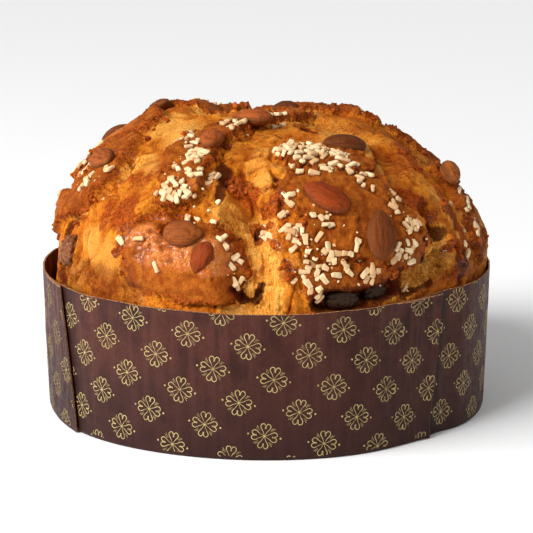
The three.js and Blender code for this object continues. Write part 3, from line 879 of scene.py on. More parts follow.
def fine_relief(directions):
    """The relief of the baked skin, and what its colours follow."""
    spot = directions * DOME_RADIUS
    waver = 2 * noise(spot / 9)
    fine, small, lump = noise(spot / 1.3 + 14), noise(spot / 2.6 + 4), noise(spot / 5 + 7)
    height = 0.8 * noise(spot / 16)
    # the tears and their crumb
    healed = strokes(directions, HEALED, 2 * lump)
    torn = np.zeros(len(directions))
    crumb = np.zeros(len(directions))
    for start, end, width, depth in TEARS:
        distance = stroke_distance(directions, start, end) + waver
        height -= TEAR_SHARE * depth * (1 - smooth(distance, 0.2 * width, width))
        share = 1 - smooth(distance + 2.5 * lump, 0.5 * width, 1.15 * width)
        share = share * (1 - healed)
        crumb += np.maximum(share - torn, 0) * fibres(directions, start, end)
        torn = np.maximum(torn, share)
    # the plates of glaze: how far inside the nearest edge, and what that edge looks like
    inner = np.full(len(directions), -40.0)
    rise = np.zeros(len(directions))
    for start, end, width, lift in PLATES:
        distance = stroke_distance(directions, start, end) + waver
        better = width - distance > inner
        inner = np.where(better, width - distance, inner)
        rise = np.where(better, lift, rise)
    glaze = inner + 2.4 * noise(spot / 7 + 2) + 1.3 * small + 0.7 * fine
    glaze = glaze - CHIP_WIDTH * strokes(directions, CHIPPED, lump)
    low = smooth(spot[:, 2], 0, 12)
    on_glaze = smooth(glaze, -0.5, 0.5)
    bare = 1 - on_glaze
    broken = smooth(noise(spot / 12 + 21), -0.45, 0.25)
    plate = rise * smooth(glaze, -0.6, 1.5)
    crags = (0.5 + 0.9 * broken) * (1.1 * noise(spot / 2.1 + 6) + 0.7 * fine) * bump(glaze - 0.8, 2.6)
    groove = 1.2 * bump(glaze + 1.8, 1.3)
    pocked = smooth(noise(spot / 2.8 + 70), 0.3, 0.75)
    top = on_glaze * (0.8 * noise(spot / 7 + 1) + 0.5 * small + 0.25 * fine - 0.9 * pocked)
    # the bare skin, smooth or torn, and its folds
    warped = spot + 5 * np.stack([noise(spot / 15 + shift) for shift in (61, 67, 73)], axis=1)
    creased = (1 - np.abs(noise(warped / 15 + 30))) ** 20
    lumps = 1.6 * noise(warped / 14 + 11) + 0.5 * noise(warped / 5 + 12) + 0.2 * small + 0.1 * fine
    soft = bare * (1 - torn) * (lumps - 1.4 * creased)
    ripples = (1 - np.abs(noise(warped / [3.2, 3.2, 11] + 50))) ** 3 - 0.3
    soft += bare * (1 - torn) * 0.7 * ripples * smooth(noise(spot / 13 + 51), -0.5, 0.3)
    rough = bare * torn * (1.1 * crumb + 1.5 * noise(spot / 4 + 13) + 0.7 * small + 0.35 * fine)
    folds = np.zeros(len(directions))
    for start, end, width, depth in FOLDS:
        distance = stroke_distance(directions, start, end) + 0.7 * noise(spot / 6 + 15)
        folds += depth * (bump(distance / 2.6, width) * 0.5 - bump(distance, width))
    # lumps of burnt sugar, and gaps under the skin with painted shade in them
    caramel = np.zeros(len(directions))
    lifted = np.zeros(len(directions))
    for start, end, width, lift in CARAMEL:
        distance = stroke_distance(directions, start, end) + 0.9 * small + 0.5 * fine
        caramel = np.maximum(caramel, 1 - smooth(distance, 0.5 * width, 1.2 * width))
        knobbly = 0.75 + 0.45 * noise(spot / 1.7 + 81)
        lifted = np.maximum(lifted, lift * knobbly * (1 - smooth(distance, 0.2 * width, width)))
    gaps = np.zeros(len(directions))
    dark = np.zeros(len(directions))
    for start, end, width, depth in HOLLOWS:
        distance = stroke_distance(directions, start, end) + 0.9 * small + 0.5 * fine
        gaps = np.maximum(gaps, depth * (1 - smooth(distance, 0.2 * width, 1.2 * width)))
        # how much painted shade each gap gets
        dark = np.maximum(dark, 1 - smooth(distance, 0.5 * width, 1.5 * width))
    skin_relief = (soft + rough) * clear_of_nuts(directions)
    height += (plate + crags - groove + top + skin_relief + folds * bare + lifted - gaps) * low
    return {
        "height": height,
        "glaze": glaze,
        "torn": torn * bare,
        "browned": strokes(directions, BROWNED, 1.8 * noise(spot / 4 + 16) + 0.8 * fine),
        "bright": strokes(directions, BRIGHT_SKIN, 4 * lump) * bare,
        "pale": strokes(directions, PALE_GLAZE, 3 * lump),
        "side_shade": strokes(directions, SIDE_SHADE, 3 * lump),
        "caramel": caramel,
        # painted shade in the gaps, creases and folds, and in the groove under each plate's edge
        "crevice_shade": np.clip(dark + 0.35 * groove + bare * (0.3 * creased - 0.5 * folds), 0, 1),
        # the local rise of the skin, which paints highlights on rises and shade in dips
        "relief_light": 0.5 + 0.3 * (soft + rough + folds + 1.3 * top),
    }


def inside_case(bearing, height):
    return wall_radius(bearing, height) - PAPER - GAP


def on_dome(directions, height):
    """Points on the dough, kept inside the paper near its rim."""
    radius = swollen_radius(directions) + height * smooth(directions[:, 2], 0, 0.1)
    places = directions * radius[:, None] + [0, 0, DOME_CENTRE]
    out = np.hypot(places[:, 0], places[:, 1])
    above = np.clip(places[:, 2] - CASE_HEIGHT - RISES_STRAIGHT, 0, MOST_BULGE)
    most = inside_case(bearing_of(places), np.minimum(places[:, 2], CASE_HEIGHT)) - SKIN_INSET + above
    places[:, :2] *= np.minimum(1, most / np.maximum(out, 1))[:, None]
    return places


bpy.ops.object.select_all(action="DESELECT")
bpy.ops.mesh.primitive_grid_add(x_subdivisions=SHEET_CELLS, y_subdivisions=SHEET_CELLS, size=2)
dough = bpy.context.object
dough.name = "dough"
bpy.ops.object.mode_set(mode="EDIT")
select_in_edit(dough, "EDGE", lambda edge: edge.is_boundary)
for _ in range(SKIRT_ROWS):
    bpy.ops.mesh.extrude_region_move(TRANSFORM_OT_translate={"value": (0, 0, -SKIRT_STEP)})
bpy.ops.mesh.merge(type="CENTER")
bpy.ops.object.mode_set(mode="OBJECT")

flat = vertices_of(dough) * MM
skirt = np.rint(-flat[:, 2] / SKIRT_STEP).astype(int)
wide = np.abs(flat[:, 0]) > np.abs(flat[:, 1])
reach = np.where(wide, flat[:, 0], flat[:, 1])
other = np.where(wide, flat[:, 1], flat[:, 0])
turn = math.pi / 4 * other / np.where(reach == 0, 1, reach)
turn = np.where(wide, turn, math.pi / 2 - turn)
disc = reach * np.exp(1j * turn)
disc = (disc - 1j * FRONT_PULL) / (1 + 1j * FRONT_PULL * disc)
bearing = np.arctan2(disc.real, -disc.imag)
tilt = math.pi / 2 * np.minimum(np.abs(disc), 1)
out = np.sin(tilt)
directions = np.stack([np.sin(bearing) * out, -np.cos(bearing) * out, np.cos(tilt)], axis=1)
skin = fine_relief(directions)

# Pearl sugar: where its nibs lie
# The nibs were strewn on the wet glaze, thick in some places. Each sank in a little, and the glaze rose round
# it, with painted shade in the pit beside it, so their places are drawn before the dough gets its final
# height.
STREWN = [  # middle, spread, how many
    (at(9, 39), 4, 7),
    (at(13, 34), 6, 11),
    (at(21, 38), 6, 15),
    (at(29, 43), 6, 9),
    (at(33, 49), 5, 5),
    (at(13, 44), 5, 6),
    (at(19, 48), 4, 4),
    (at(26, 49), 4, 2),
    (at(31, 55), 5, 4),
    (at(38, 60), 6, 5),
    (at(6, 58), 5, 5),
    (at(0, 66), 3, 3),
    (at(15, 64), 4, 6),
    (at(7, 66), 4, 8),
    (at(8, 69), 4, 4),
    (at(11, 73), 4, 6),
    (at(16, 72), 4, 6),
    (at(21, 70), 4, 4),
    (at(20, 74), 3, 4),
    (at(14, 76), 4, 4),
    (at(9, 78), 5, 6),
    (at(12, 80), 3, 3),
    (at(26, 76), 5, 7),
    (at(34, 73), 3, 4),
    (at(39, 73), 4, 6),
    (at(41, 67), 4, 6),
    (at(39, 82), 1, 1),
    (at(-50, 34), 5, 11),
    (at(-37, 36), 4, 6),
    (at(-27, 22), 4, 7),
    (at(-30, 42), 5, 12),
    (at(-34, 48), 2, 2),
    (at(-24, 49), 5, 10),
    (at(-31, 56), 6, 16),
    (at(-24, 57), 3, 3),
    (at(-15, 57), 1, 1),
    (at(-16, 63), 1, 1),
    (at(-33, 70), 1, 1),
    (at(-39, 71), 1, 1),
    (at(-22, 64), 3, 3),
    (at(-12, 68), 2, 3),
    (at(-27, 76), 1, 1),
    (at(-8, 72), 3, 3),
    (at(-7, 78), 3, 3),
    (at(-66, 53), 2, 2),
    (at(-71, 59), 4, 6),
    (at(-87, 61), 6, 10),
    (at(-60, 61), 1, 1),
    (at(-35, 17), 6, 10),
    (at(30, 9), 7, 9),
    (at(72, 67), 4, 4),
    (at(69, 72), 4, 4),
    (at(66, 76), 4, 3),
    (at(76, 60), 4, 2),
    (at(126, 44), 11, 20),
    (at(136, 62), 12, 18),
    (at(160, 36), 14, 22),
    (at(206, 62), 12, 18),
    (at(214, 34), 12, 18),
    (at(256, 58), 13, 20),
    (at(268, 72), 8, 8),
]
NIB_LENGTHS, NIB_WIDTHS, NIB_THICKNESSES = (2.2, 5.6), (1.6, 2.7), (1.2, 1.9)
NIB_SINK = 0.9  # how deep its underside lies in the glaze
NIB_LEAN = 0.14  # how far it is off level, and its sides off square
CLEAR_OF_NIB = 2.4  # between the middles of two
CLEAR_OF_ALMOND = 1.3  # in half sizes of the almond
CLEAR_OF_RIM = 4
PIT = (0.9, 0.35, 0.7)  # depth, distance from the nib's side, half width
PIT_RIM = (0.25, 1.8, 0.8)  # height, distance, half width
PIT_REACH = 0.09  # in radii of the dome
rng = np.random.default_rng(12)


def frames_on(directions, towards, lift):
    """Frames that stand on the dome: their origins, and x, y and z as the rows of a matrix."""
    step = 0.06
    side = unit(np.cross(directions, [0.3, 1, 0.2]))  # any line at right angles will do
    across = np.cross(directions, side)
    slopes = []
    for axis in (side, across):
        ahead, behind = unit(directions + step * axis), unit(directions - step * axis)
        slopes.append(ahead * swollen_radius(ahead)[:, None] - behind * swollen_radius(behind)[:, None])
    z = unit(np.cross(slopes[0], slopes[1]))
    z *= np.sign((z * directions).sum(axis=1))[:, None]
    x = unit(towards - (towards * z).sum(axis=1)[:, None] * z)
    radius = swollen_radius(directions) + coarse_relief(directions)
    origins = directions * radius[:, None] + [0, 0, DOME_CENTRE] + z * np.reshape(lift, (-1, 1))
    return origins, np.stack([x, np.cross(z, x), z], axis=1)


blunt, pointed = (np.array([almond[end] for almond in ALMONDS]) for end in (0, 1))
almond_lifts = [almond[2] for almond in ALMONDS]
almond_origins, almond_axes = frames_on(unit(blunt + pointed), pointed - blunt, almond_lifts)
almond_sizes = np.array([almond[3] for almond in ALMONDS])


def nib_places():
    found = np.empty((0, 3))
    places = np.empty((0, 3))
    for middle, spread, count in STREWN:
        tries = unit(middle * DOME_RADIUS + rng.normal(0, 0.55 * spread, (6 * count, 3)))
        spots = on_dome(tries, coarse_relief(tries))
        taken = 0
        for direction, spot in zip(tries, spots):
            to_almonds = np.einsum("nij,nj->ni", almond_axes, spot - almond_origins)
            near = 2 * np.hypot(*(to_almonds[:, :2] / almond_sizes[:, :2]).T).min()
            crowded = len(places) and distance_between(places, spot).min() < CLEAR_OF_NIB
            if taken == count or near < CLEAR_OF_ALMOND or crowded or spot[2] < CASE_HEIGHT + CLEAR_OF_RIM:
                continue
            found = np.vstack([found, direction])
            places = np.vstack([places, spot])
            taken += 1
    return found


nib_directions = nib_places()
nib_count = len(nib_directions)
nib_sizes = np.stack(
    [rng.uniform(*ends, nib_count) for ends in (NIB_LENGTHS, NIB_WIDTHS, NIB_THICKNESSES)],
    axis=1,
)
_, nib_axes = frames_on(nib_directions, rng.normal(size=(nib_count, 3)), np.zeros(nib_count))
nib_axes = nib_axes + np.cross(nib_axes, rng.normal(0, NIB_LEAN, (nib_count, 1, 3)))
nib_axes /= np.linalg.norm(nib_axes, axis=2)[:, :, None]
nib_height = fine_relief(nib_directions)["height"]
nib_origins = on_dome(nib_directions, nib_height + 0.5 * nib_sizes[:, 2] - NIB_SINK)

unpitted = on_dome(directions, skin["height"])
beside_nib = np.full(len(directions), 20.0)
for direction, origin, axes, size in zip(nib_directions, nib_origins, nib_axes, nib_sizes):
    near = np.flatnonzero(distance_between(directions, direction) < PIT_REACH)
    past = np.abs((unpitted[near] - origin) @ axes.T)[:, :2] - size[:2] / 2
    away = np.hypot(*np.maximum(past, 0).T) + np.minimum(past.max(axis=1), 0)
    beside_nib[near] = np.minimum(beside_nib[near], away)
pit = -PIT[0] * bump(beside_nib - PIT[1], PIT[2]) + PIT_RIM[0] * bump(beside_nib - PIT_RIM[1], PIT_RIM[2])

# Dough: its final shape
# The sheet is drawn over the dome with the relief and the nibs' pits, and its border follows the paper.
# Round each piece of fruit the skin is drawn up into a thin frame with painted shade on its inner side.
FRUIT = [  # name, middle, end, lift, half sizes; width of the ring of painted shade; depth and closeness of wrinkles
    ("fruit_left", at(-64, 77), at(-65, 72), -1.2, (7.5, 7.2, 5), 1.2, (0.16, 2.1)),
    ("raisin_front", at(19, 83), at(24, 83), -1.8, (8, 4.5, 3.8), 2.8, (0.15, 1.7)),
    ("raisin_right", at(29, 82), at(33, 81), -1.8, (6.5, 4, 3.8), 2.8, (0.15, 1.6)),
]
FRAME = (1.4, 1.5, 1.3)  # height, distance from the fruit's side, half width
FRUIT_PIT = 2.5  # how deep the skin lies under the fruit
for name, middle, end, lift, half, ring, _ in FRUIT:
    away = stroke_distance(directions, unit((middle * 2 - end)[None])[0], end) - half[1]
    skin["height"] += FRAME[0] * bump(away - FRAME[1], FRAME[2]) - FRUIT_PIT * (1 - smooth(away, -1.5, 0.5))
    skin["crevice_shade"] = np.maximum(skin["crevice_shade"], 0.8 * bump(away + 0.5, ring))
places = on_dome(directions, skin["height"] + pit)
bearing = np.degrees(bearing)
for row, level, inset in [
    (1, LEAVES_PAPER, 0),
    (2, BREAD_FOOT + FOOT_ROUNDING, 0),
    (3, BREAD_FOOT, FOOT_ROUNDING),
]:
    low = skirt == row
    radius = inside_case(bearing[low], level) - SKIN_INSET - inset
    places[low] = ring_points(bearing[low], radius, np.full(low.sum(), level))
places[skirt == SKIRT_ROWS] = [0, 0, BREAD_FOOT]
place_vertices(dough, places)
for name in ("glaze", "torn", "browned", "bright", "pale", "side_shade", "caramel", "crevice_shade", "relief_light"):
    add_attribute(dough, name, skin[name])
add_attribute(dough, "nib", beside_nib)
bpy.ops.object.shade_smooth()


CRUST_SHEEN = (1, 0.7, 0.42, 1)  # sugar and butter make the reflections warm


def crust_material():
    finish = {"Specular_IOR_Level": 0.14, "Specular_Tint": CRUST_SHEEN, "Coat_Roughness": 0.16}
    made, tree, shader = new_material("crust_and_glaze", **finish)
    place = object_place(tree)
    speckle = grain(tree, place, 0.55, 2)
    fine = grain(tree, place, 1.1, 3)
    middling = grain(tree, place, 3.4, 4)
    broad = grain(tree, place, 16, 4)
    strands = grain(tree, object_place(tree, (1, 1, 0.3)), 0.9, 3)

    def ragged(name, low, high):
        """An attribute whose borders are broken up, as a share."""
        rough = sums(tree, "ADD", sums(tree, "MULTIPLY", middling, 0.8), sums(tree, "MULTIPLY", fine, 0.5))
        value = sums(tree, "ADD", attribute(tree, name), sums(tree, "SUBTRACT", rough, 0.65))
        return between(tree, value, low, high)

    # the bare skin and the crumb
    relief_light = attribute(tree, "relief_light")
    bare = mix(tree, between(tree, broad, 0.35, 0.65), rgb(222, 136, 36), rgb(194, 102, 22))
    bare = mix(tree, between(tree, middling, 0.44, 0.68, 0.0, 0.8), bare, rgb(150, 64, 8))
    bare = mix(tree, sums(tree, "MULTIPLY", ragged("bright", 0.1, 0.95), 0.85), bare, rgb(234, 164, 70))
    crumb = mix(tree, between(tree, strands, 0.36, 0.62), rgb(250, 184, 82), rgb(220, 130, 38))
    crumb = mix(tree, between(tree, middling, 0.56, 0.78, 0.0, 0.5), crumb, rgb(190, 98, 28))
    bare = mix(tree, ragged("torn", 0.2, 0.75), bare, crumb)
    # painted shade in the dips of the relief, and a painted highlight on its rises
    bare = mix(tree, between(tree, relief_light, -0.1, 0.5, 0.85, 0.0), bare, rgb(146, 60, 6))
    bare = mix(tree, between(tree, relief_light, 0.6, 1.1, 0.0, 0.5), bare, rgb(238, 176, 92))
    scorched = mix(tree, between(tree, fine, 0.38, 0.62), rgb(176, 74, 16), rgb(112, 38, 6))
    bare = mix(tree, sums(tree, "MULTIPLY", ragged("browned", 0.25, 0.8), 0.9), bare, scorched)
    bare = mix(tree, between(tree, fine, 0.5, 0.72, 0.0, 0.55), bare, rgb(136, 58, 8))
    bare = mix(tree, between(tree, speckle, 0.52, 0.7, 0.0, 0.4), bare, rgb(108, 40, 6))

    # the glaze, pale or brown, burnt along its edge
    wavy = sums(tree, "MULTIPLY", sums(tree, "SUBTRACT", fine, 0.5), 3.0)
    edge = sums(tree, "ADD", attribute(tree, "glaze"), wavy)
    pale = ragged("pale", 0.1, 0.9)
    matt_brown = mix(tree, between(tree, middling, 0.35, 0.65), rgb(178, 95, 24), rgb(146, 67, 12))
    dark_spots = between(tree, middling, 0.54, 0.74, 0.0, 0.55)
    matt_brown = mix(tree, dark_spots, matt_brown, rgb(134, 56, 10))
    salmon = mix(tree, between(tree, middling, 0.35, 0.65), rgb(208, 126, 58), rgb(190, 92, 28))
    # painted glints: bright specks on the pale glaze
    salmon = mix(tree, between(tree, speckle, 0.3, 0.45, 0.4, 0.0), salmon, rgb(244, 190, 138))
    plate = mix(tree, pale, matt_brown, salmon)
    # painted shade in the dips of the glaze
    plate = mix(tree, between(tree, relief_light, 0.15, 0.5, 0.7, 0.0), plate, rgb(124, 50, 8))
    plate = mix(tree, between(tree, speckle, 0.5, 0.68, 0.0, 0.55), plate, rgb(122, 50, 10))
    caramel = mix(tree, between(tree, fine, 0.36, 0.62), rgb(178, 82, 20), rgb(98, 36, 6))
    broken = between(tree, grain(tree, place, 11, 2), 0.4, 0.58, 0.25, 1.0)
    burnt = sums(tree, "MULTIPLY", between(tree, edge, 0.6, 4.2, 1.0, 0.0), broken)
    plate = mix(tree, burnt, plate, caramel)
    # painted shade in the pit round each nib
    plate = mix(tree, between(tree, attribute(tree, "nib"), 0.0, 0.9, 0.75, 0.0), plate, rgb(124, 54, 14))

    # all over: lumps of caramel, painted shade on the sides and in the deep gaps and creases, and the gloss
    covered = between(tree, edge, -0.35, 0.35)
    colour = mix(tree, covered, bare, plate)
    lumps = mix(tree, between(tree, fine, 0.36, 0.62), rgb(188, 90, 20), rgb(112, 42, 6))
    caramel_lump = ragged("caramel", 0.3, 0.8)
    colour = mix(tree, caramel_lump, colour, lumps)
    # painted shade on the sides of the dome, low down and on the right
    side_shade = ragged("side_shade", 0.0, 1.0)
    colour = mix(tree, side_shade, colour, rgb(166, 146, 124), "MULTIPLY")
    # painted shade in crevices and gaps
    colour = mix(tree, sums(tree, "MULTIPLY", ragged("crevice_shade", 0.3, 0.8), 0.9), colour, rgb(82, 26, 6))
    tree.links.new(colour, shader.inputs["Base Color"])
    glassy = sums(tree, "MAXIMUM", sums(tree, "MULTIPLY", covered, pale), caramel_lump)
    glossy = sums(tree, "MULTIPLY", glassy, between(tree, fine, 0.46, 0.6))
    matt = between(tree, covered, 0, 1, 0.24, 0.08)
    gloss = sums(tree, "ADD", between(tree, middling, 0.35, 0.65, 0.36, 0.56), matt)
    sleek = sums(tree, "MAXIMUM", glossy, sums(tree, "MULTIPLY", covered, side_shade))
    gloss = sums(tree, "SUBTRACT", gloss, sums(tree, "MULTIPLY", sleek, 0.26))
    tree.links.new(gloss, shader.inputs["Roughness"])
    tree.links.new(sums(tree, "MULTIPLY", glossy, 0.7), shader.inputs["Coat Weight"])
    first = use_bump(tree, shader, middling, 1.2, 0.5)
    second = use_bump(tree, shader, fine, 0.9, 0.7, first)
    use_bump(tree, shader, speckle, 0.5, 0.9, second)
    return made


dough.data.materials.append(crust_material())
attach(dough, "root")
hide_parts("bread")

# Crags of glaze
# Where the glaze broke, its edge crumbled into small caramelised lumps that stuck where they fell.
# Each is a rough pebble of a few faces, half sunk in the edge of a plate; one mesh holds them all.
CRAG_TRIES = 26000
CRAG_SIZES = (0.35, 1.5)
CRAG_KINDS = 6
CRAG_ROUGHNESS = 0.3
CRAG_SINK = 0.2
CRAG_CLEAR_OF_RIM = 10


def pebble(levels, roughness):
    """A rough lump of radius 1, and its faces."""
    bpy.ops.object.select_all(action="DESELECT")
    bpy.ops.mesh.primitive_ico_sphere_add(subdivisions=levels, radius=MM)
    lump = bpy.context.object
    corners = vertices_of(lump)
    corners = corners * (1 + roughness * rng.uniform(-1, 1, (len(corners), 1)))
    faces = [list(face.vertices) for face in lump.data.polygons]
    bpy.data.objects.remove(lump)
    return corners, faces


def joined_mesh(name, kinds, chosen, origins, axes, sizes, dulled=None):
    """One piece from many small ones: copies of a few kinds, each with its own frame and size."""
    places, faces, count = [], [], 0
    for kind, origin, frame_axes, size in zip(chosen, origins, axes, sizes):
        corners, sides = kinds[kind]
        places.append((corners * size) @ frame_axes + origin)
        faces += [[corner + count for corner in face] for face in sides]
        count += len(corners)
    mesh = bpy.data.meshes.new(name)
    mesh.from_pydata((np.concatenate(places) * MM).tolist(), [], faces)
    piece = bpy.data.objects.new(name, mesh)
    bpy.context.scene.collection.objects.link(piece)
    if dulled is not None:
        add_attribute(piece, "dulled", np.repeat(dulled, [len(kinds[kind][0]) for kind in chosen]))
    bpy.ops.object.select_all(action="DESELECT")
    piece.select_set(True)
    bpy.context.view_layer.objects.active = piece
    return piece


tries = rng.normal(size=(CRAG_TRIES, 3))
tries[:, 2] = np.abs(tries[:, 2])
tries = unit(tries)
tried = fine_relief(tries)
clumped = noise(tries * DOME_RADIUS / 7 + 21) + 0.5 * noise(tries * DOME_RADIUS / 3 + 22)
crumbled = (np.abs(tried["glaze"]) < 1.6) & (clumped > 0.2)
# they lie along the edges of the plates, on the burnt lumps, and here and there on browned skin
kept = crumbled | (tried["caramel"] > 0.4) & (clumped > 0) | (tried["browned"] > 0.6) & (clumped > 0.7)
crag_places = on_dome(tries[kept], tried["height"][kept] - CRAG_SINK)
kept_high = crag_places[:, 2] > CASE_HEIGHT + CRAG_CLEAR_OF_RIM
crag_places, crag_directions = crag_places[kept_high], tries[kept][kept_high]
spin = rng.normal(size=(len(crag_places), 3))
_, crag_axes = frames_on(crag_directions, spin, np.zeros(len(crag_places)))
smallest, largest = CRAG_SIZES
crag_sizes = smallest + (largest - smallest) * rng.uniform(0, 1, (len(crag_places), 1)) ** 3
crag_sizes = crag_sizes * rng.uniform(0.6, 1.5, (len(crag_places), 3))
crags = joined_mesh(
    "glaze_crags",
    [pebble(2 if kind < CRAG_KINDS / 2 else 1, CRAG_ROUGHNESS) for kind in range(CRAG_KINDS)],
    rng.integers(0, CRAG_KINDS, len(crag_places)),
    crag_places,
    crag_axes,
    crag_sizes,
)
bpy.ops.object.shade_smooth_by_angle(angle=math.radians(30))
crag_finish = {"Specular_IOR_Level": 0.2, "Specular_Tint": CRUST_SHEEN}
crag_made, crag_tree, crag_shader = new_material("caramelised_crags", **crag_finish)
crag_place = object_place(crag_tree)
crag_spots = between(crag_tree, grain(crag_tree, crag_place, 2.2, 3), 0.35, 0.68)
crag_colour = mix(crag_tree, crag_spots, rgb(172, 78, 16), rgb(100, 36, 6))
crag_tree.links.new(crag_colour, crag_shader.inputs["Base Color"])
crag_gloss = between(crag_tree, grain(crag_tree, crag_place, 1.1), 0.3, 0.7, 0.25, 0.6)
crag_tree.links.new(crag_gloss, crag_shader.inputs["Roughness"])
use_bump(crag_tree, crag_shader, grain(crag_tree, crag_place, 0.5, 3), 0.3, 0.6)
crags.data.materials.append(crag_made)
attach(crags, "root")

# Fruit
# A lump of dark candied fruit in the dough at the left rim, and two raisins that burst out at the front.
# Each is a wrinkled ball, seated where its solid is, the raisins a little deeper.
SKIN_SHEEN = (1, 0.75, 0.5, 1)  # reflections on a dark skin are warm
FRUIT_SKINS = {"fruit_left": ("candied_fruit", rgb(128, 72, 38), rgb(66, 30, 12))}
RAISIN_SKIN = ("dark_raisin", rgb(46, 24, 14), rgb(16, 8, 5))


def fruit_material(name, light, dark):
    made, tree, shader = new_material(name, Roughness=0.42, Specular_IOR_Level=0.3, Specular_Tint=SKIN_SHEEN)
    place = object_place(tree)
    spots = between(tree, grain(tree, place, 1.6, 4), 0.35, 0.68)
    tree.links.new(mix(tree, spots, light, dark), shader.inputs["Base Color"])
    use_bump(tree, shader, grain(tree, place, 1.6, 3), 0.5, 0.6)
    return made


for name, middle, end, lift, half, ring, (depth, closeness) in FRUIT:
    origins, axes = frames_on(middle[None], (end - middle)[None], [lift])
    bpy.ops.object.select_all(action="DESELECT")
    bpy.ops.mesh.primitive_ico_sphere_add(subdivisions=5, radius=MM)
    lump = bpy.context.object
    lump.name = "baked_" + name
    ball = vertices_of(lump)
    wrinkled = 1 - depth * (1 - np.abs(noise(ball * closeness + 31))) ** 2 + 0.05 * noise(ball * 6)
    squared = (np.abs(ball) ** 3).sum(axis=1) ** (-1 / 3)
    shape = ball * (wrinkled * (0.45 + 0.55 * squared))[:, None] * half
    place_vertices(lump, shape @ axes[0] + origins[0])
    bpy.ops.object.shade_smooth()
    lump.data.materials.append(fruit_material(*FRUIT_SKINS.get(name, RAISIN_SKIN)))
    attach(lump, "root")
    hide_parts(name)

# Almonds
# Whole almonds in their skins, roasted on the glaze, with long furrows from the blunt end to the tip.
# Each starts as a ball whose poles are its two ends, and is flattened, tapered and furrowed.


def almond_material():
    finish = {"Roughness": 0.6, "Specular_IOR_Level": 0.12, "Specular_Tint": SKIN_SHEEN}
    made, tree, shader = new_material("roasted_almond_skin", **finish)
    place = object_place(tree)
    tint = attribute(tree, "tint")
    skin_colour = mix(tree, between(tree, tint, 0.0, 0.5), rgb(80, 38, 14), rgb(158, 82, 34))
    skin_colour = mix(tree, between(tree, tint, 0.5, 0.85), skin_colour, rgb(132, 50, 14))
    skin_colour = mix(tree, between(tree, tint, 0.88, 1.0), skin_colour, rgb(152, 84, 34))
    mottled = between(tree, grain(tree, place, 2.6, 4), 0.4, 0.75, 0.0, 0.5)
    skin_colour = mix(tree, mottled, skin_colour, rgb(112, 54, 26))
    # darker in the furrows: the skin's darker veins, and painted shade in them
    furrowed = between(tree, attribute(tree, "furrow"), 0.2, 1.0, 0.0, 0.65)
    skin_colour = mix(tree, furrowed, skin_colour, rgb(78, 32, 12))
    # painted shade on the sides where the almond curves away, and duller, dusty skin there
    edge_shade_and_dust = sums(tree, "MULTIPLY", attribute(tree, "edge_shade_and_dust"), 0.7)
    skin_colour = mix(tree, edge_shade_and_dust, skin_colour, rgb(98, 54, 28))
    dust = between(tree, grain(tree, place, 0.7, 2), 0.62, 0.72, 0.0, 0.25)
    skin_colour = mix(tree, dust, skin_colour, rgb(206, 140, 90))
    tree.links.new(skin_colour, shader.inputs["Base Color"])
    use_bump(tree, shader, grain(tree, place, 0.6, 3), 0.2, 0.6)
    return made


ALMOND_SKIN = almond_material()
FURROW_DEPTH = 0.3
for number, (almond, origin, axes) in enumerate(zip(ALMONDS, almond_origins, almond_axes)):
    size, tint = almond[3:]
    bpy.ops.object.select_all(action="DESELECT")
    bpy.ops.mesh.primitive_uv_sphere_add(segments=72, ring_count=40, radius=MM)
    nut = bpy.context.object
    nut.name = f"roasted_almond_{number + 1:02d}"
    ball = vertices_of(nut)
    along, side, up = ball[:, 2], ball[:, 0], ball[:, 1]
    taper = 1.04 - 0.1 * along - 0.12 * np.maximum(along, 0) ** 2 - 0.1 * smooth(along, 0.55, 1)
    shape = np.stack([along, side * taper, up * taper], axis=1) * size / 2
    furrow = (1 - np.abs(noise(shape / [12, 0.9, 0.9] + 3 * number))) ** 3
    furrow *= smooth(1 - np.abs(along), 0.0, 0.25)
    dents = 0.25 * noise(shape / 5 + 40 + number)
    shape += unit(shape) * (dents - FURROW_DEPTH * furrow)[:, None]
    place_vertices(nut, shape @ axes + origin)
    add_attribute(nut, "furrow", furrow)
    add_attribute(nut, "edge_shade_and_dust", 1 - smooth(np.abs(up), 0.1, 0.55))
    add_attribute(nut, "tint", np.full(len(ball), tint))
    bpy.ops.object.shade_smooth()
    nut.data.materials.append(ALMOND_SKIN)
    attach(nut, "root")
    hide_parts(f"almond_{number + 1:02d}")

# Pearl sugar: the nibs
# Short opaque rods and chips of pressed sugar, cream coloured after baking.
# A few kinds are made from bevelled blocks with crooked corners; one mesh holds all of them.
NIB_KINDS = 16
NIB_BEVEL = 0.2
NIB_CROOKEDNESS = 0.045
SUGAR_CRUMBS = 260
CRUMB_SPREAD = 3.2
CRUMB_CLEAR_OF_RIM = 3


def nib():
    """A block of size 1 with chipped edges, and its faces."""
    bpy.ops.object.select_all(action="DESELECT")
    bpy.ops.mesh.primitive_cube_add(size=MM)
    block = bpy.context.object
    bpy.ops.object.mode_set(mode="EDIT")
    bpy.ops.mesh.select_all(action="SELECT")
    bpy.ops.mesh.bevel(offset=NIB_BEVEL * MM, segments=2, affect="EDGES")
    bpy.ops.object.mode_set(mode="OBJECT")
    corners = vertices_of(block)
    corners += NIB_CROOKEDNESS * rng.uniform(-1, 1, corners.shape)
    corners[:, 1] += 0.1 * np.sin(4 * corners[:, 0] + rng.uniform(0, 6))
    corners[:, 1:] *= 1 + 0.18 * np.sin(5 * corners[:, :1] + rng.uniform(0, 6, 2))
    faces = [list(face.vertices) for face in block.data.polygons]
    bpy.data.objects.remove(block)
    return corners, faces


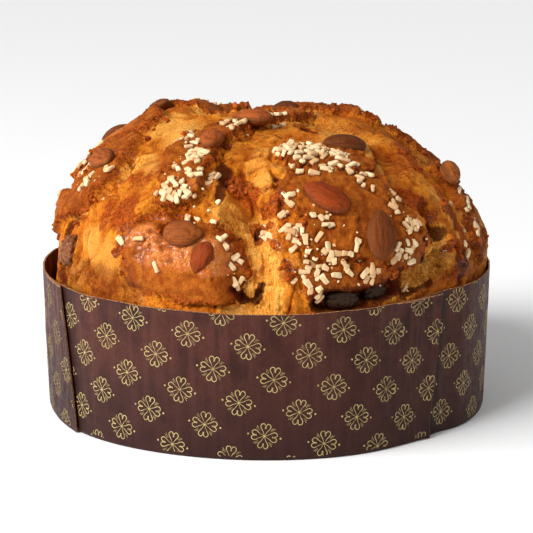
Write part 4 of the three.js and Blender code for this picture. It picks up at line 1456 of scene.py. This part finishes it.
near_nib = rng.integers(0, nib_count, SUGAR_CRUMBS)
scattered = rng.normal(0, CRUMB_SPREAD, (SUGAR_CRUMBS, 3))
crumb_directions = unit(nib_directions[near_nib] * DOME_RADIUS + scattered)
crumb_origins = on_dome(crumb_directions, fine_relief(crumb_directions)["height"])
_, crumb_axes = frames_on(crumb_directions, rng.normal(size=(SUGAR_CRUMBS, 3)), np.zeros(SUGAR_CRUMBS))
crumb_sizes = rng.uniform(0.4, 1.2, (SUGAR_CRUMBS, 1)) * rng.uniform(0.7, 1.3, (SUGAR_CRUMBS, 3))
clear_of_rim = crumb_origins[:, 2] > CASE_HEIGHT + CRUMB_CLEAR_OF_RIM
sugar = joined_mesh(
    "pearl_sugar",
    [nib() for _ in range(NIB_KINDS)],
    rng.integers(0, NIB_KINDS, nib_count + clear_of_rim.sum()),
    np.concatenate([nib_origins, crumb_origins[clear_of_rim]]),
    np.concatenate([nib_axes, crumb_axes[clear_of_rim]]),
    np.concatenate([nib_sizes, crumb_sizes[clear_of_rim]]),
    rng.uniform(0, 1, nib_count + clear_of_rim.sum()) ** 2,
)
bpy.ops.object.shade_smooth_by_angle(angle=math.radians(50))
sugar_made, sugar_tree, sugar_shader = new_material("pressed_sugar", Roughness=0.6, Specular_IOR_Level=0.3)
sugar_place = object_place(sugar_tree)
sugar_spots = between(sugar_tree, grain(sugar_tree, sugar_place, 2.2, 4), 0.35, 0.68)
sugar_colour = mix(sugar_tree, sugar_spots, rgb(240, 216, 172), rgb(212, 174, 124))
sugar_colour = mix(sugar_tree, attribute(sugar_tree, "dulled"), sugar_colour, rgb(206, 158, 108))
sugar_tree.links.new(sugar_colour, sugar_shader.inputs["Base Color"])
use_bump(sugar_tree, sugar_shader, grain(sugar_tree, sugar_place, 0.5, 3), 0.25, 0.7)
sugar.data.materials.append(sugar_made)
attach(sugar, "root")

# Studio
# A plain pale floor under an even pale sky, one soft key light from the upper left in front,
# a weaker one from the right, and a softbox at the left. The camera stands where the photographer's did.
bpy.ops.object.select_all(action="DESELECT")
bpy.ops.mesh.primitive_plane_add(size=30)
floor = bpy.context.object
floor.name = "pale_floor"
floor_made, _, floor_shader = new_material("pale_floor", Roughness=0.9, Specular_IOR_Level=0.1)
floor_shader.inputs["Base Color"].default_value = (0.9, 0.9, 0.9, 1)
floor.data.materials.append(floor_made)

world = bpy.data.worlds.new("studio")
world.use_nodes = True
world.node_tree.nodes["Background"].inputs["Color"].default_value = (1, 1, 1, 1)
world.node_tree.nodes["Background"].inputs["Strength"].default_value = 0.37
bpy.context.scene.world = world
bpy.context.scene.view_settings.view_transform = "Standard"

AIM = (0, 0, 0.0633)


def look_from(spot):
    away = np.array(AIM) - spot
    elevation = math.atan2(away[2], math.hypot(away[0], away[1]))
    heading = math.atan2(-away[0], away[1])
    return (math.pi / 2 + elevation, 0, heading)


def soft_light(name, spot, kind, size, power):
    bpy.ops.object.light_add(type=kind, location=spot)
    lamp = bpy.context.object
    lamp.name = name
    lamp.data.energy = power
    if kind == "SUN":
        lamp.data.angle = math.radians(size)
    else:
        lamp.data.size = size
    lamp.rotation_euler = look_from(spot)


soft_light("key", (-0.8, -0.85, 1.0), "SUN", 24, 2.35)
soft_light("second", (1.0, -0.75, 0.8), "SUN", 22, 0.45)
soft_light("softbox", (-1.1, -0.5, 0.55), "AREA", 0.6, 16)

CAMERA_DISTANCE = 1.133
CAMERA_TILT = math.radians(13.03)
FRAME_PIXELS = 533
FOCUS = 2400  # in pixels of the frame
SENSOR = 36
spot = (0, -CAMERA_DISTANCE * math.cos(CAMERA_TILT), AIM[2] + CAMERA_DISTANCE * math.sin(CAMERA_TILT))
bpy.ops.object.camera_add(location=spot, rotation=look_from(spot))
camera = bpy.context.object
camera.data.sensor_width = SENSOR
camera.data.lens = FOCUS * SENSOR / FRAME_PIXELS
camera.data.clip_end = 60
bpy.context.scene.camera = camera
